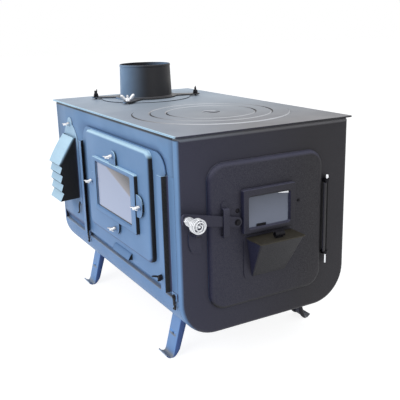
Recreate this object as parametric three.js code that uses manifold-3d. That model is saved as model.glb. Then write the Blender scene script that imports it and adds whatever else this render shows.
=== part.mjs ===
// Tent wood stove: a sheet-steel firebox on four legs, with a hinged fire door at the front, a lift-off
// window panel and a louvred air hood on its left side, nested cooking rings and a flue collar on top.
//
// Millimetres, +Z up. The stove is built with x = 0 on its middle plane, y = 0 at the front face and
// z = 0 on the floor, then moved so that the origin is the centre of its bounding box's bottom face.

import * as THREE from "three";
import { mergeVertices } from "three/addons/utils/BufferGeometryUtils.js";
import { ConvexGeometry } from "three/addons/geometries/ConvexGeometry.js";
import Module from "manifold-3d";

const wasm = await Module();
wasm.setup();

// ---------- Driving dimensions, millimetres unless the name says otherwise ----------

// Body shell
const bodyWidth = 400;
const bodyLength = 700;
const bodyHeight = 400;
const legHeight = 86; // floor to the underside of the body
const sheet = 2; // steel sheet of every shell
const seatGap = 0.3; // clearance between separate pieces that touch
const tubCornerRadius = 78;
const topCornerRadius = 6;
const rolledEdgeRadius = 10; // the end plates' rolled edge
const skirtDepth = 14; // how far an end plate's skirt reaches along the body
const tubSideHeight = 80; // underside of the body to the tub's lip
const wallTuck = 8; // how far the side walls step in below, to stand inside the tub
const wallTuckHeight = 26;
const wallOverlap = 12; // length of wall inside the tub
const wallFlange = 14; // flange under the top plate

// Top plate and cooking rings
const topThickness = 3;
const topOverhang = 5;
const topPlateCorner = 4;
const hobCentre = { x: 3, y: 225 };
const hobHoleRadius = 174.3;
const innerRingRadius = 134;
const lidRadius = 98;
const hobStep = 7; // width of the ledge that each ring offers to the next
const hobLedgeThickness = 2;
const hobRise = 1.5; // the rings stand this much above the top plate
const hobBevel = 1;
const lidCupRadius = 19;
const lidCupDepth = 6;
const lifterBarWidth = 7;
const lifterBarThickness = 3;

// Flue outlet
const flueCentre = { x: 8.5, y: 572 };
const smokeHoleRadius = 64;
const flueDiscRadius = 116;
const flueDiscThickness = 2.5;
const flueFlangeRadius = 80;
const flueFlangeThickness = 3;
const flueLugRadius = 11;
const flueLugRoot = 30; // half width of a lug where it leaves the flange
const collarRadius = 68;
const collarWall = 1.5;
const collarTopRadius = 65.4; // the collar narrows towards its rim, so that a pipe slips over it
const collarHeight = 82;
const collarBead = 1; // the rolled rim stands out by this much
const flueStudCircle = 132;
const flueStudAngles = [-135, -20, 153]; // degrees, anticlockwise from +X

// Studs and wing nuts
const studRadius = 3;
const studProud = 16; // how far a stud stands past the plate it holds
const studClearance = 0.8; // radial, where a plate is slipped over a stud
const nutClearance = 0.3; // radial, between a wing nut's bore and its stud
const flueNutSpan = 40;
const flueNutTurn = Math.PI / 3; // how far the right and left nuts are turned from the front one
const smallNutSpan = 32;

// Legs: pressed channels
const legWidth = 40;
const legDepth = 12;
const legInset = 97; // front face to the nearer side of a leg
const legTopReach = 152; // middle plane to the outer face of a leg, where it leaves the tub
const legTopDepth = 16;
const legFootReach = 173; // middle plane to where the foot touches the floor
const legToe = 15; // the toe curls out by this much past the foot
const legToeRise = 10;
const legSheet = 3;
const legHoleRadius = 2.6;
const legHoleHeight = 45;

// Fire door
const doorCentre = { x: -7, z: 284.5 };
const doorWidth = 268;
const doorHeight = 293;
const doorCornerRadius = 35;
const doorDepth = 11;
const doorEdgeRadius = 9.5;
const doorLap = 16; // how far the door laps over its opening on each side
const sealRadius = 3.5;

// Door window
const doorWindow = { x: -11, z: 331, width: 122, height: 88 };
const doorGlassOpening = { x: -11, z: 328.5, width: 94, height: 61 };
const doorFrameDepth = 10;
const doorFrameCorner = 3;
const glassThickness = 4;
const glassLap = 8; // the frame holds the pane by this much all round
const doorScrews = { left: { x: -80, z: 335 }, right: { x: 65, z: 333 } };
const screwHeadRadius = 3.4;
const screwHeadHeight = 2.6;

// Hinge
const hingeX = 139;
const hingeOut = 8;
const knuckleRadius = 4;
const knuckleTop = 359;
const knuckleBottom = 211;
const pinRadius = 2.4;
const pinClearance = 0.3;
const pinTop = 368;
const pinBottom = 183;
const pinHeadRadius = 3.8;
const eyeHeight = 7;
const eyeRadius = 5.5;

// Latch
const latchPivot = { x: -84, z: 314.5 };
const latchTilt = 12; // degrees: the bar's free end is raised clear of its keeper
const latchReach = 111.5; // pivot to the handle's axis
const barHeight = 20;
const barThickness = 4.5;
const barLift = 2.3; // door face to the bar
const pivotRadius = 4;
const pivotHeadRadius = 6.5;
const pivotHeadHeight = 4;
const bracketX = -110;
const bracketWidth = 13;
const bracketTop = 346;
const bracketBottom = 290;
const bracketFoot = 12; // height of the round-headed foot above the strap
const bracketSheet = 2;

// Coil handle: the spring wound round the handle's bolt
const coilWireRadius = 1.25;
const coilRadius = 13.2; // axis to the middle of the wire
const coilNeckRadius = 7.6;
const coilNeckTurns = 4.5;
const coilPitch = 4.9;
const coilEndRadius = 4.4;
const coilBodyTurns = 2.7;
const coilBoltRadius = 2.4;
const handleNutRadius = 8;
const handleNutHeight = 6;

// Keeper that the latch bar drops into
const keeper = { left: -184, right: -156, top: 318, bottom: 264 };
const keeperSheet = 3;
const keeperTongue = { left: -178, right: -165 }; // the shelf that the lowered bar rests on
const keeperLip = 14; // height of the lip in front of the bar
const keeperClearance = 2; // bar to that lip

// Air box and lid under the door window
const airBoxCentre = -9;
const airBoxTopWidth = 102;
const airBoxBottomWidth = 80;
const airBoxTop = 275.7;
const airBoxBottom = 196;
const airBoxReach = 50; // door face to the box's front edge
const airBoxToe = 4; // what is left of that reach at the bottom
const airFlange = { width: 116, top: 281, bottom: 189, radius: 15 };
const airSheet = 1.5;
const airWayHalfWidth = 30; // the air way through the door, behind the air box
const airWayMargin = 20;
const airLidWidth = 106;
const airLidReach = 50;
const airLidThickness = 2;
const gripRadius = 7.5;
const gripBore = 5;
const gripLength = 26;
const gripStem = 1.5;
const gripOffset = 2; // middle of the lid to the middle of the grip
const gripReach = 31; // lid's hinge to the grip's axis

// Side window panel and its rails
const sideCentre = 262; // front face to the panel's middle
const panelHalfWidth = 221.5;
const panelTop = 450;
const panelShoulder = 2; // above the rails the plate reaches this much past the pan
const panelBottom = 183;
const wallOpening = { width: 364, bottom: 204, top: 440, radius: 12 }; // behind the panel
const panelLift = 2.6; // wall to the back of the panel's plate
const panHalfWidth = 170.5;
const panTop = 448;
const panBottom = 220;
const panOut = 17; // wall to the pan's face
const panEdgeRadius = 7;
const panCornerRadius = 16;
const railDepth = 16;
const railLip = 18;
const railFlange = 22;
const railTop = 411;
const railBottom = 181;
const railFoot = 14; // the flange runs on below the rail, to carry the swivel hook
const railClearance = 2.5;
const louvreWidth = 92;
const louvreHeight = 14;
const louvreReach = 10;
const louvreRise = 6; // panel's bottom edge to the louvre
const lockHeight = 210;
const lockInset = 5.5; // free edge of the rail's lip to the lock screw

// Side window
const sideWindow = { x: 5.5, z: 332.5, width: 233, height: 125 };
const sideGlassOpening = { x: 2.5, z: 333.5, width: 191, height: 101 };
const sideFrameDepth = 8;
const sideFrameCorner = 5;
const sideLug = { thickness: 3, reach: 7 }; // lugs of the frame, one at each side, that the clamps hold down
const clampLength = { top: 36, bottom: 36, front: 46, rear: 46 };
const clampReach = 12; // stud to the clamp's round side
const clampThickness = 2;
const clampGap = 0.5; // frame's side to a clamp's straight edge
const clampNutGap = 1; // frame's side to a turning wing nut
const clampBeyondLug = 4; // how far a clamp runs past its lug at each end

// Swivel hooks at the rails' feet
const hookHeadRadius = 5.5;
const hookThickness = 2.5;
const hookRivetRadius = 2.2;
const hookRivetHead = 3.6;
const hookLength = 26;
const hookTailWidth = 4.5;

// Louvred air hood
const hoodGap = 22; // rear rail's flange to the hood's plate
const hoodWidth = 82;
const hoodSheet = 1.5;
const hoodDrop = 77; // body's top to the hood's apex
const hoodApexOut = 9;
const hoodRoofDrop = 66; // apex to the first tip
const hoodFirstTipOut = 51;
const hoodTipOut = 50;
const hoodRootOut = 44;
const hoodTiers = 4;
const hoodPitch = 22.5;
const hoodStep = 6; // drop from a tip back to the next root
const hoodSlotHeight = 3;
const hoodPlateHalfWidth = 56;
const hoodPlateFoot = 15; // hood's foot to the plate's lower edge
const hoodPlateShoulder = 29; // apex down to the corner where the plate starts to narrow
const hoodPlateHead = 17; // radius of the plate's round head
const hoodStudRise = 29; // apex up to the stud
const hoodHook = { width: 16, drop: 30, reach: 10 };

// Inside the firebox
const grateHeight = 112;
const grateThickness = 6;
const grateMargin = 40; // end plate to the grate
const grateSlots = 8;
const grateSlotWidth = 14;
const grateBorder = 30;
const baffleHeight = 430;
const baffleLength = 230;
const baffleLip = 16;

// ---------- Facets ----------
const roundFacets = 48;
const smallFacets = 12;
const cornerSteps = 6;
const edgeSteps = 3;
const coilSteps = 8;
const coilSides = 5;

// ---------- Values that follow from the driving dimensions ----------
const halfWidth = bodyWidth / 2;
const bodyBottom = legHeight;
const bodyTop = legHeight + bodyHeight;
const tubTop = bodyBottom + tubSideHeight;
const topSurface = bodyTop + topThickness;
const hobTop = topThickness - seatGap + hobRise; // measured from the rings' undersides
const shellStart = skirtDepth + seatGap;
const shellEnd = bodyLength - shellStart;
const doorFace = doorDepth;
const barBack = doorFace + barLift;
const barFront = barBack + barThickness;
const bracketFront = barFront + seatGap + bracketSheet + 1;
const sidePlateFront = panelLift + sheet;
const hoodCentre = sideCentre + panelHalfWidth + railClearance + railFlange + hoodGap + hoodPlateHalfWidth;
const hoodApex = bodyTop - hoodDrop;
const hoodFirstTip = { out: hoodFirstTipOut, z: hoodApex - hoodRoofDrop };
const hoodFoot = hoodFirstTip.z - hoodTiers * hoodPitch;
const hoodPlateBottom = hoodFoot - hoodPlateFoot;
const hoodStudHeight = hoodApex + hoodStudRise;

// ---------- Materials ----------
const steel = (color, roughness = 0.5, metalness = 0.35) =>
  new THREE.MeshStandardMaterial({ color, roughness, metalness });
const sidePaint = () => steel(0x6f8fc0, 0.42, 0.3);
const frontPaint = () => steel(0x3f4049, 0.5, 0.3);
const topPaint = () => steel(0x9a9aa4, 0.55, 0.3);
const darkPaint = () => steel(0x303136, 0.5, 0.3);
const zinc = () => steel(0xd6dade, 0.3, 0.9);
const castIron = () => steel(0x2b2b2d, 0.8, 0.4);
const rope = () => steel(0x7d7a72, 0.95, 0);
const glassPane = (color) =>
  new THREE.MeshStandardMaterial({ color, roughness: 0.08, metalness: 0, transparent: true, opacity: 0.6 });

// ---------- Solids ----------

// A closed geometry as a solid that can be joined and cut.
function toSolid(geometry) {
  const bare = geometry.clone();
  bare.deleteAttribute("normal");
  bare.deleteAttribute("uv");
  const welded = mergeVertices(bare, 1e-4);
  return new wasm.Manifold(
    new wasm.Mesh({
      numProp: 3,
      vertProperties: new Float32Array(welded.getAttribute("position").array),
      triVerts: new Uint32Array(welded.index.array),
    }),
  );
}

// A solid as a flat-shaded geometry.
function toGeometry(solid) {
  const { numProp, numVert, vertProperties, triVerts } = solid.getMesh();
  const places = new Float32Array(numVert * 3);
  for (let i = 0; i < numVert; i++) {
    places.set(vertProperties.subarray(i * numProp, i * numProp + 3), i * 3);
  }
  const indexed = new THREE.BufferGeometry();
  indexed.setAttribute("position", new THREE.BufferAttribute(places, 3));
  indexed.setIndex(new THREE.BufferAttribute(new Uint32Array(triVerts), 1));
  const flat = indexed.toNonIndexed();
  flat.computeVertexNormals();
  return flat;
}

const join = (first, ...others) =>
  toGeometry(others.reduce((sum, next) => sum.add(toSolid(next)), toSolid(first)));

const cut = (body, ...tools) =>
  toGeometry(tools.reduce((rest, tool) => rest.subtract(toSolid(tool)), toSolid(body)));

// A path's points without the repeats that arise where a line meets a curve.
function plainPoints(points) {
  const apart = (a, b) => a.distanceTo(b) > 1e-4;
  const kept = points.filter((point, i) => i === 0 || apart(point, points[i - 1]));
  return apart(kept[0], kept[kept.length - 1]) ? kept : kept.slice(0, -1);
}

// A flat shape as a plate between two depths along local z.
function plate(shape, from, to, curveSegments = cornerSteps) {
  const outline = new THREE.Shape(plainPoints(shape.getPoints(curveSegments)));
  outline.holes = shape.holes.map((hole) => new THREE.Path(plainPoints(hole.getPoints(curveSegments))));
  const geometry = new THREE.ExtrudeGeometry(outline, { depth: to - from, bevelEnabled: false });
  return geometry.translate(0, 0, from);
}

// A shape drawn in (local x, local z), carried along local y between two heights.
const upright = (shape, low, high) =>
  plate(shape, 0, high - low).rotateX(Math.PI / 2).translate(0, high, 0);

// A shape drawn in (local z, local y), carried along local x and centred on a place there.
const across = (shape, middle, width) =>
  plate(shape, 0, width)
    .rotateY(-Math.PI / 2)
    .translate(middle + width / 2, 0, 0);

const box = (x0, x1, y0, y1, z0, z1) =>
  new THREE.BoxGeometry(x1 - x0, y1 - y0, z1 - z0).translate(
    (x0 + x1) / 2,
    (y0 + y1) / 2,
    (z0 + z1) / 2,
  );

// A rod along local z.
const rod = (radius, from, to, facets = smallFacets, endRadius = radius) =>
  new THREE.CylinderGeometry(endRadius, radius, to - from, facets)
    .rotateX(Math.PI / 2)
    .translate(0, 0, (from + to) / 2);

// A profile of [radius, height] pairs spun about local z. It ends on the axis or closes on itself.
function spun(profile, facets = roundFacets) {
  const points = profile.map(([r, h]) => new THREE.Vector2(r, h));
  return new THREE.LatheGeometry(points, facets).rotateX(Math.PI / 2);
}

const closed = (profile) => [...profile, profile[0]];

function polygon(points) {
  return new THREE.Shape(points.map(([x, y]) => new THREE.Vector2(x, y)));
}

function roundedRectangle(x0, x1, y0, y1, radius) {
  const shape = new THREE.Shape();
  shape.moveTo(x0 + radius, y0);
  shape.lineTo(x1 - radius, y0);
  shape.absarc(x1 - radius, y0 + radius, radius, -Math.PI / 2, 0);
  shape.lineTo(x1, y1 - radius);
  shape.absarc(x1 - radius, y1 - radius, radius, 0, Math.PI / 2);
  shape.lineTo(x0 + radius, y1);
  shape.absarc(x0 + radius, y1 - radius, radius, Math.PI / 2, Math.PI);
  shape.lineTo(x0, y0 + radius);
  shape.absarc(x0 + radius, y0 + radius, radius, Math.PI, 1.5 * Math.PI);
  return shape;
}

const centredRectangle = ({ x = 0, z, width, height }, radius, grow = 0) =>
  roundedRectangle(
    x - width / 2 - grow,
    x + width / 2 + grow,
    z - height / 2 - grow,
    z + height / 2 + grow,
    radius,
  );

// One ring of points round a rectangle whose corners are rounded, drawn in by an inset.
function ring({ x0, x1, y0, y1, low, high }, inset, z) {
  const smallest = 0.5;
  const lowRadius = Math.max(low - inset, smallest);
  const highRadius = Math.max(high - inset, smallest);
  const corners = [
    [x1 - inset - lowRadius, y0 + inset + lowRadius, lowRadius, -Math.PI / 2],
    [x1 - inset - highRadius, y1 - inset - highRadius, highRadius, 0],
    [x0 + inset + highRadius, y1 - inset - highRadius, highRadius, Math.PI / 2],
    [x0 + inset + lowRadius, y0 + inset + lowRadius, lowRadius, Math.PI],
  ];
  return corners.flatMap(([cx, cy, radius, start]) =>
    Array.from({ length: cornerSteps + 1 }, (_, k) => {
      const angle = start + (k / cornerSteps) * (Math.PI / 2);
      return new THREE.Vector3(cx + radius * Math.cos(angle), cy + radius * Math.sin(angle), z);
    }),
  );
}

// Rings of equal length joined into one skin. It is capped at both ends, or runs round into itself.
function loft(rings, endless = false) {
  const count = rings[0].length;
  const faces = [];
  const stretches = endless ? rings.length : rings.length - 1;
  for (let i = 0; i < stretches; i++) {
    const here = i * count;
    const there = ((i + 1) % rings.length) * count;
    for (let j = 0; j < count; j++) {
      const next = (j + 1) % count;
      faces.push(here + j, here + next, there + next, here + j, there + next, there + j);
    }
  }
  if (!endless) {
    const last = (rings.length - 1) * count;
    for (let j = 1; j < count - 1; j++) {
      faces.push(0, j + 1, j, last, last + j, last + j + 1);
    }
  }
  const geometry = new THREE.BufferGeometry().setFromPoints(rings.flat());
  geometry.setIndex(faces);
  geometry.computeVertexNormals();
  return geometry;
}

// Quarter-round steps from a wall into a face: [inset, z] pairs from (inset, top - radius) to (inset + radius, top).
const roundedEdge = (inset, top, radius) =>
  Array.from({ length: edgeSteps + 1 }, (_, k) => {
    const angle = (k / edgeSteps) * (Math.PI / 2);
    return [inset + radius * (1 - Math.cos(angle)), top - radius * (1 - Math.sin(angle))];
  });

// A pressed pan of sheet, open at its back: its face lies at z = face and its skirt ends at z = back.
// With a margin, the skirt turns out into a flat plate of that outline.
function pan(outline, back, face, radius, thickness, margin = null) {
  const inside = roundedEdge(thickness, face - thickness, radius - thickness).reverse();
  const outside = roundedEdge(0, face, radius);
  const rings = inside.map(([inset, z]) => ring(outline, inset, z));
  rings.push(ring(outline, thickness, back));
  if (margin) {
    rings.push(ring(margin, 0, back), ring(margin, 0, back + thickness));
    rings.push(ring(outline, 0, back + thickness));
  } else {
    rings.push(ring(outline, 0, back));
  }
  rings.push(...outside.map(([inset, z]) => ring(outline, inset, z)));
  return loft(rings);
}

function named(name, geometry, material) {
  const mesh = new THREE.Mesh(geometry, material);
  mesh.name = name;
  return mesh;
}

function group(...members) {
  const gathered = new THREE.Group();
  gathered.add(...members);
  return gathered;
}

// ---------- Body shell, drawn with x across, y up and z out of the front face ----------

const bodyOutline = {
  x0: -halfWidth,
  x1: halfWidth,
  y0: bodyBottom,
  y1: bodyTop - seatGap,
  low: tubCornerRadius,
  high: topCornerRadius,
};

function endPlate() {
  return pan(bodyOutline, -skirtDepth, 0, rolledEdgeRadius, sheet);
}

function frontEndPlate() {
  const opening = { ...doorCentre, width: doorWidth - 2 * doorLap, height: doorHeight - 2 * doorLap };
  const radius = doorCornerRadius - doorLap;
  return cut(endPlate(), plate(centredRectangle(opening, radius), -skirtDepth, skirtDepth));
}

// The tub: one sheet bent round the body's lower corners, with a lip turned in at each top edge.
function bottomTub() {
  const lip = wallTuck - seatGap;
  const outer = tubCornerRadius;
  const inner = tubCornerRadius - sheet;
  const cx = halfWidth - tubCornerRadius;
  const cy = bodyBottom + tubCornerRadius;
  const shape = new THREE.Shape();
  shape.moveTo(-halfWidth, tubTop);
  shape.lineTo(-halfWidth, cy);
  shape.absarc(-cx, cy, outer, Math.PI, 1.5 * Math.PI);
  shape.lineTo(cx, bodyBottom);
  shape.absarc(cx, cy, outer, 1.5 * Math.PI, 2 * Math.PI);
  shape.lineTo(halfWidth, tubTop);
  shape.lineTo(halfWidth - lip, tubTop);
  shape.lineTo(halfWidth - lip, tubTop - sheet);
  shape.lineTo(halfWidth - sheet, tubTop - sheet);
  shape.lineTo(halfWidth - sheet, cy);
  shape.absarc(cx, cy, inner, 0, -Math.PI / 2, true);
  shape.lineTo(-cx, bodyBottom + sheet);
  shape.absarc(-cx, cy, inner, -Math.PI / 2, -Math.PI, true);
  shape.lineTo(-halfWidth + sheet, tubTop - sheet);
  shape.lineTo(-halfWidth + lip, tubTop - sheet);
  shape.lineTo(-halfWidth + lip, tubTop);
  return plate(shape, -shellEnd, -shellStart, 2 * cornerSteps);
}

// A side wall: it stands inside the tub, steps out above the lip and ends in a flange under the top plate.
function sideWall(side) {
  const face = side * halfWidth;
  const inward = (distance) => face - side * distance;
  const bendStart = tubTop + 3;
  const bendEnd = tubTop + wallTuckHeight;
  const ceiling = bodyTop - seatGap;
  const shape = new THREE.Shape();
  shape.moveTo(inward(wallTuck), tubTop - wallOverlap);
  shape.lineTo(inward(wallTuck), bendStart);
  shape.quadraticCurveTo(inward(wallTuck), bendEnd - sheet, face, bendEnd);
  shape.lineTo(face, ceiling);
  shape.lineTo(inward(wallFlange), ceiling);
  shape.lineTo(inward(wallFlange), ceiling - sheet);
  shape.lineTo(inward(sheet), ceiling - sheet);
  shape.lineTo(inward(sheet), bendEnd + sheet);
  shape.quadraticCurveTo(inward(wallTuck + sheet), bendEnd, inward(wallTuck + sheet), bendStart);
  shape.lineTo(inward(wallTuck + sheet), tubTop - wallOverlap);
  return plate(shape, -shellEnd, -shellStart, edgeSteps);
}

// A leg: a pressed channel that starts under the tub's corner, splays out and curls up at its toe.
function leg(side) {
  const cx = halfWidth - tubCornerRadius;
  const cy = bodyBottom + tubCornerRadius;
  const tubUnderside = (x) => cy - Math.sqrt((tubCornerRadius + seatGap) ** 2 - (x - cx) ** 2);
  const topSteps = 5;
  const topEdge = Array.from({ length: topSteps + 1 }, (_, k) => {
    const x = legTopReach - legTopDepth + (k / topSteps) * legTopDepth;
    return [x, tubUnderside(x)];
  });
  const toeX = legFootReach + legToe;
  const ankle = 1.6 * legToeRise;
  const ankleOuter = [legFootReach - 2, ankle + legSheet];
  const outline = [
    ...topEdge,
    ankleOuter,
    [legFootReach + legToe * 0.4, legSheet + legToeRise * 0.45],
    [toeX - legSheet, legToeRise],
    [toeX, legToeRise - legSheet],
    [legFootReach + legToe * 0.5, legSheet * 0.5],
    [legFootReach, 0],
    [legFootReach - legDepth / 2, 0],
    [legFootReach - legDepth, ankle],
  ];
  const topOuter = topEdge[topSteps];
  const lean = (ankleOuter[0] - topOuter[0]) / (topOuter[1] - ankleOuter[1]);
  const pocket = [
    [topOuter[0] - legSheet - lean * legDepth, topOuter[1] + legDepth],
    [ankleOuter[0] - legSheet, ankleOuter[1]],
    [ankleOuter[0] - 2 * legDepth, ankleOuter[1]],
    [topOuter[0] - 2 * legTopDepth, topOuter[1] + legDepth],
  ];
  const signed = (points) => polygon(points.map(([x, y]) => [side * x, y]));
  const hole = rod(legHoleRadius, -bodyWidth, bodyWidth)
    .rotateY(Math.PI / 2)
    .translate(0, legHoleHeight, -legWidth / 2);
  return cut(
    plate(signed(outline), -legWidth, 0),
    plate(signed(pocket), -legWidth + legSheet, -legSheet),
    hole,
  );
}

// ---------- Inside the firebox ----------

function grate() {
  const cx = halfWidth - tubCornerRadius;
  const cy = bodyBottom + tubCornerRadius;
  const insideRadius = tubCornerRadius - sheet - seatGap;
  const half = cx + Math.sqrt(insideRadius ** 2 - (cy - grateHeight) ** 2);
  const length = bodyLength - 2 * grateMargin;
  const shape = roundedRectangle(-half, half, -length / 2, length / 2, 4);
  const step = (length - 2 * grateBorder) / grateSlots;
  for (let k = 0; k < grateSlots; k++) {
    const middle = -length / 2 + grateBorder + (k + 0.5) * step;
    const low = middle - grateSlotWidth / 2;
    const high = middle + grateSlotWidth / 2;
    shape.holes.push(polygon([
      [-half + grateBorder, low],
      [half - grateBorder, low],
      [half - grateBorder, high],
      [-half + grateBorder, high],
    ]));
  }
  return plate(shape, 0, grateThickness);
}

function baffle() {
  const reach = halfWidth - sheet - seatGap;
  const shape = polygon([
    [0, 0],
    [baffleLength, 0],
    [baffleLength, -baffleLip],
    [baffleLength - sheet, -baffleLip],
    [baffleLength - sheet, -sheet],
    [0, -sheet],
  ]);
  return across(shape, 0, 2 * reach);
}

// ---------- Top plate, cooking rings and flue, drawn with x and y level and z up ----------

function topPlate() {
  const shape = roundedRectangle(
    -halfWidth - topOverhang,
    halfWidth + topOverhang,
    -topOverhang,
    bodyLength + topOverhang,
    topPlateCorner,
  );
  const circle = ({ x, y }, radius) => new THREE.Path().absarc(x, y, radius, 0, 2 * Math.PI, true);
  shape.holes.push(circle(hobCentre, hobHoleRadius), circle(flueCentre, smokeHoleRadius));
  const ledge = spun(closed([
    [hobHoleRadius - hobStep, -hobLedgeThickness],
    [hobHoleRadius + hobStep, -hobLedgeThickness],
    [hobHoleRadius + hobStep, topThickness / 2],
    [hobHoleRadius, topThickness / 2],
    [hobHoleRadius, 0],
    [hobHoleRadius - hobStep, 0],
  ])).translate(hobCentre.x, hobCentre.y, 0);
  const studTop = topThickness + flueDiscThickness + flueFlangeThickness + 3 * seatGap + studProud;
  const studs = flueStudAngles.map((angle) => {
    const { x, y } = flueStud(angle);
    return rod(studRadius, topThickness / 2, studTop).translate(x, y, 0);
  });
  return join(plate(shape, 0, topThickness, roundFacets / 2), ledge, ...studs);
}

function flueStud(angle) {
  const turn = THREE.MathUtils.degToRad(angle);
  return {
    x: flueCentre.x + flueStudCircle * Math.cos(turn),
    y: flueCentre.y + flueStudCircle * Math.sin(turn),
  };
}

// A cooking ring: it hangs on the ledge round it by a thin rim, and offers a ledge to the next one.
function hobRing(outerRadius, hangs, innerRadius) {
  const rimUnder = hangs ? hobLedgeThickness + seatGap : 0;
  const bodyRadius = outerRadius - (hangs ? hobStep : 0);
  const profile = [
    [innerRadius - hobStep, 0],
    [bodyRadius, 0],
    ...(hangs ? [[bodyRadius, rimUnder], [outerRadius, rimUnder]] : []),
    [outerRadius, hobTop - hobBevel],
    [outerRadius - hobBevel, hobTop],
    [innerRadius + hobBevel, hobTop],
    [innerRadius, hobTop - hobBevel],
    [innerRadius, hobLedgeThickness],
    [innerRadius - hobStep, hobLedgeThickness],
  ];
  return spun(closed(profile));
}

// The middle lid: a disc with a pressed cup, and a bar across the cup for the lifter.
function hobLid() {
  const cupFloor = hobTop - lidCupDepth;
  const under = hobLedgeThickness + seatGap;
  const bodyRadius = lidRadius - hobStep;
  const disc = spun([
    [0, cupFloor - sheet],
    [lidCupRadius + sheet, cupFloor - sheet],
    [lidCupRadius + sheet, 0],
    [bodyRadius, 0],
    [bodyRadius, under],
    [lidRadius, under],
    [lidRadius, hobTop - hobBevel],
    [lidRadius - hobBevel, hobTop],
    [lidCupRadius + hobBevel, hobTop],
    [lidCupRadius, hobTop - hobBevel],
    [lidCupRadius, cupFloor],
    [0, cupFloor],
  ]);
  const half = lidCupRadius + hobBevel;
  const barTop = hobTop - hobBevel / 2;
  const bar = box(-half, half, -lifterBarWidth / 2, lifterBarWidth / 2, barTop - lifterBarThickness, barTop);
  return join(disc, bar);
}

function flueDisc() {
  return spun(closed([
    [smokeHoleRadius, 0],
    [flueDiscRadius, 0],
    [flueDiscRadius, flueDiscThickness / 2],
    [flueDiscRadius - flueDiscThickness, flueDiscThickness],
    [smokeHoleRadius, flueDiscThickness],
  ]));
}

// The flange under the collar, with a lug to each stud.
function flueFlange() {
  const ringPlate = plate(new THREE.Shape().absarc(0, 0, flueFlangeRadius, 0, 2 * Math.PI), 0, flueFlangeThickness,
    roundFacets / 2);
  const lugs = flueStudAngles.flatMap((angle) => {
    const turn = THREE.MathUtils.degToRad(angle);
    const arm = polygon([
      [0, -flueLugRoot],
      [flueStudCircle, -flueLugRadius],
      [flueStudCircle, flueLugRadius],
      [0, flueLugRoot],
    ]);
    return [
      plate(arm, 0, flueFlangeThickness).rotateZ(turn),
      rod(flueLugRadius, 0, flueFlangeThickness).translate(flueStudCircle, 0, 0).rotateZ(turn),
    ];
  });
  const holes = flueStudAngles.map((angle) =>
    rod(studRadius + studClearance, -1, flueFlangeThickness + 1)
      .translate(flueStudCircle, 0, 0)
      .rotateZ(THREE.MathUtils.degToRad(angle)),
  );
  const bore = rod(collarRadius - collarWall, -1, flueFlangeThickness + 1, roundFacets);
  return cut(join(ringPlate, ...lugs), bore, ...holes);
}

function flueCollar() {
  const inside = collarRadius - collarWall;
  const beadTop = collarHeight - 1;
  const beadFoot = collarHeight - 6;
  return spun(closed([
    [inside, 0],
    [collarRadius, 0],
    [collarTopRadius, beadFoot],
    [collarTopRadius + collarBead, beadFoot + collarBead],
    [collarTopRadius + collarBead, beadTop],
    [collarTopRadius, collarHeight],
    [collarTopRadius - collarWall, collarHeight],
  ]));
}

// ---------- Fasteners, standing along local z with their base at z = 0 ----------

// A wing nut, or a wing screw where a shank is given instead of a bore.
function wingNut(span, shank = 0) {
  const unit = span / 40;
  const hubHeight = 9 * unit;
  const hubRadius = 6.8 * unit;
  const wing = [
    [2, 1],
    [9, 3],
    [16, 11],
    [20, 17],
    [18.5, 21],
    [15, 20.5],
    [9, 12],
    [2, 8],
  ].map(([x, z]) => [x * unit, z * unit]);
  const thickness = 3 * unit;
  const wings = [1, -1].map((side) =>
    plate(polygon(wing.map(([x, z]) => [side * x, z])), -thickness / 2, thickness / 2).rotateX(Math.PI / 2),
  );
  const body = join(rod(hubRadius, 0, hubHeight, smallFacets, hubRadius * 0.78), ...wings);
  return shank
    ? join(body, rod(studRadius, -shank, hubHeight / 2))
    : cut(body, rod(studRadius + nutClearance, -1, span));
}

function screwHead(radius, height) {
  return rod(radius, 0, height, smallFacets, radius * 0.8);
}

// ---------- Fire door and its fittings, drawn as the body shell is ----------

const doorOutline = {
  x0: doorCentre.x - doorWidth / 2,
  x1: doorCentre.x + doorWidth / 2,
  y0: doorCentre.z - doorHeight / 2,
  y1: doorCentre.z + doorHeight / 2,
  low: doorCornerRadius,
  high: doorCornerRadius,
};

function fireDoor() {
  const glassHole = centredRectangle(doorGlassOpening, doorFrameCorner, -1);
  const airHole = roundedRectangle(
    airBoxCentre - airWayHalfWidth,
    airBoxCentre + airWayHalfWidth,
    airBoxBottom + airWayMargin,
    airBoxTop - airWayMargin,
    4,
  );
  return cut(
    pan(doorOutline, seatGap, doorFace, doorEdgeRadius, sheet),
    plate(glassHole, 0, 2 * doorFace),
    plate(airHole, 0, 2 * doorFace),
    rod(pivotRadius - 1 + seatGap, 0, 2 * doorFace).translate(latchPivot.x, latchPivot.z, 0),
  );
}

// The rope seal: one loop inside the door's skirt.
function doorSeal() {
  const inset = doorEdgeRadius - sheet;
  const sides = 6;
  const rings = Array.from({ length: sides }, (_, k) => {
    const angle = (-k / sides) * 2 * Math.PI;
    const z = seatGap + sealRadius + sealRadius * Math.sin(angle);
    return ring(doorOutline, inset + sealRadius * Math.cos(angle), z);
  });
  return loft(rings, true);
}

// A window frame with a pocket at its back that holds the pane against the sheet behind it.
function windowFrame(outer, opening, from, depth, corner) {
  const frame = centredRectangle(outer, corner);
  frame.holes.push(centredRectangle(opening, corner));
  const pocket = centredRectangle(opening, corner, glassLap + seatGap);
  return cut(plate(frame, from, from + depth), plate(pocket, from - 1, from + glassThickness + 2 * seatGap));
}

const pane = (opening, from, corner) =>
  plate(centredRectangle(opening, corner, glassLap), from, from + glassThickness);

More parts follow.
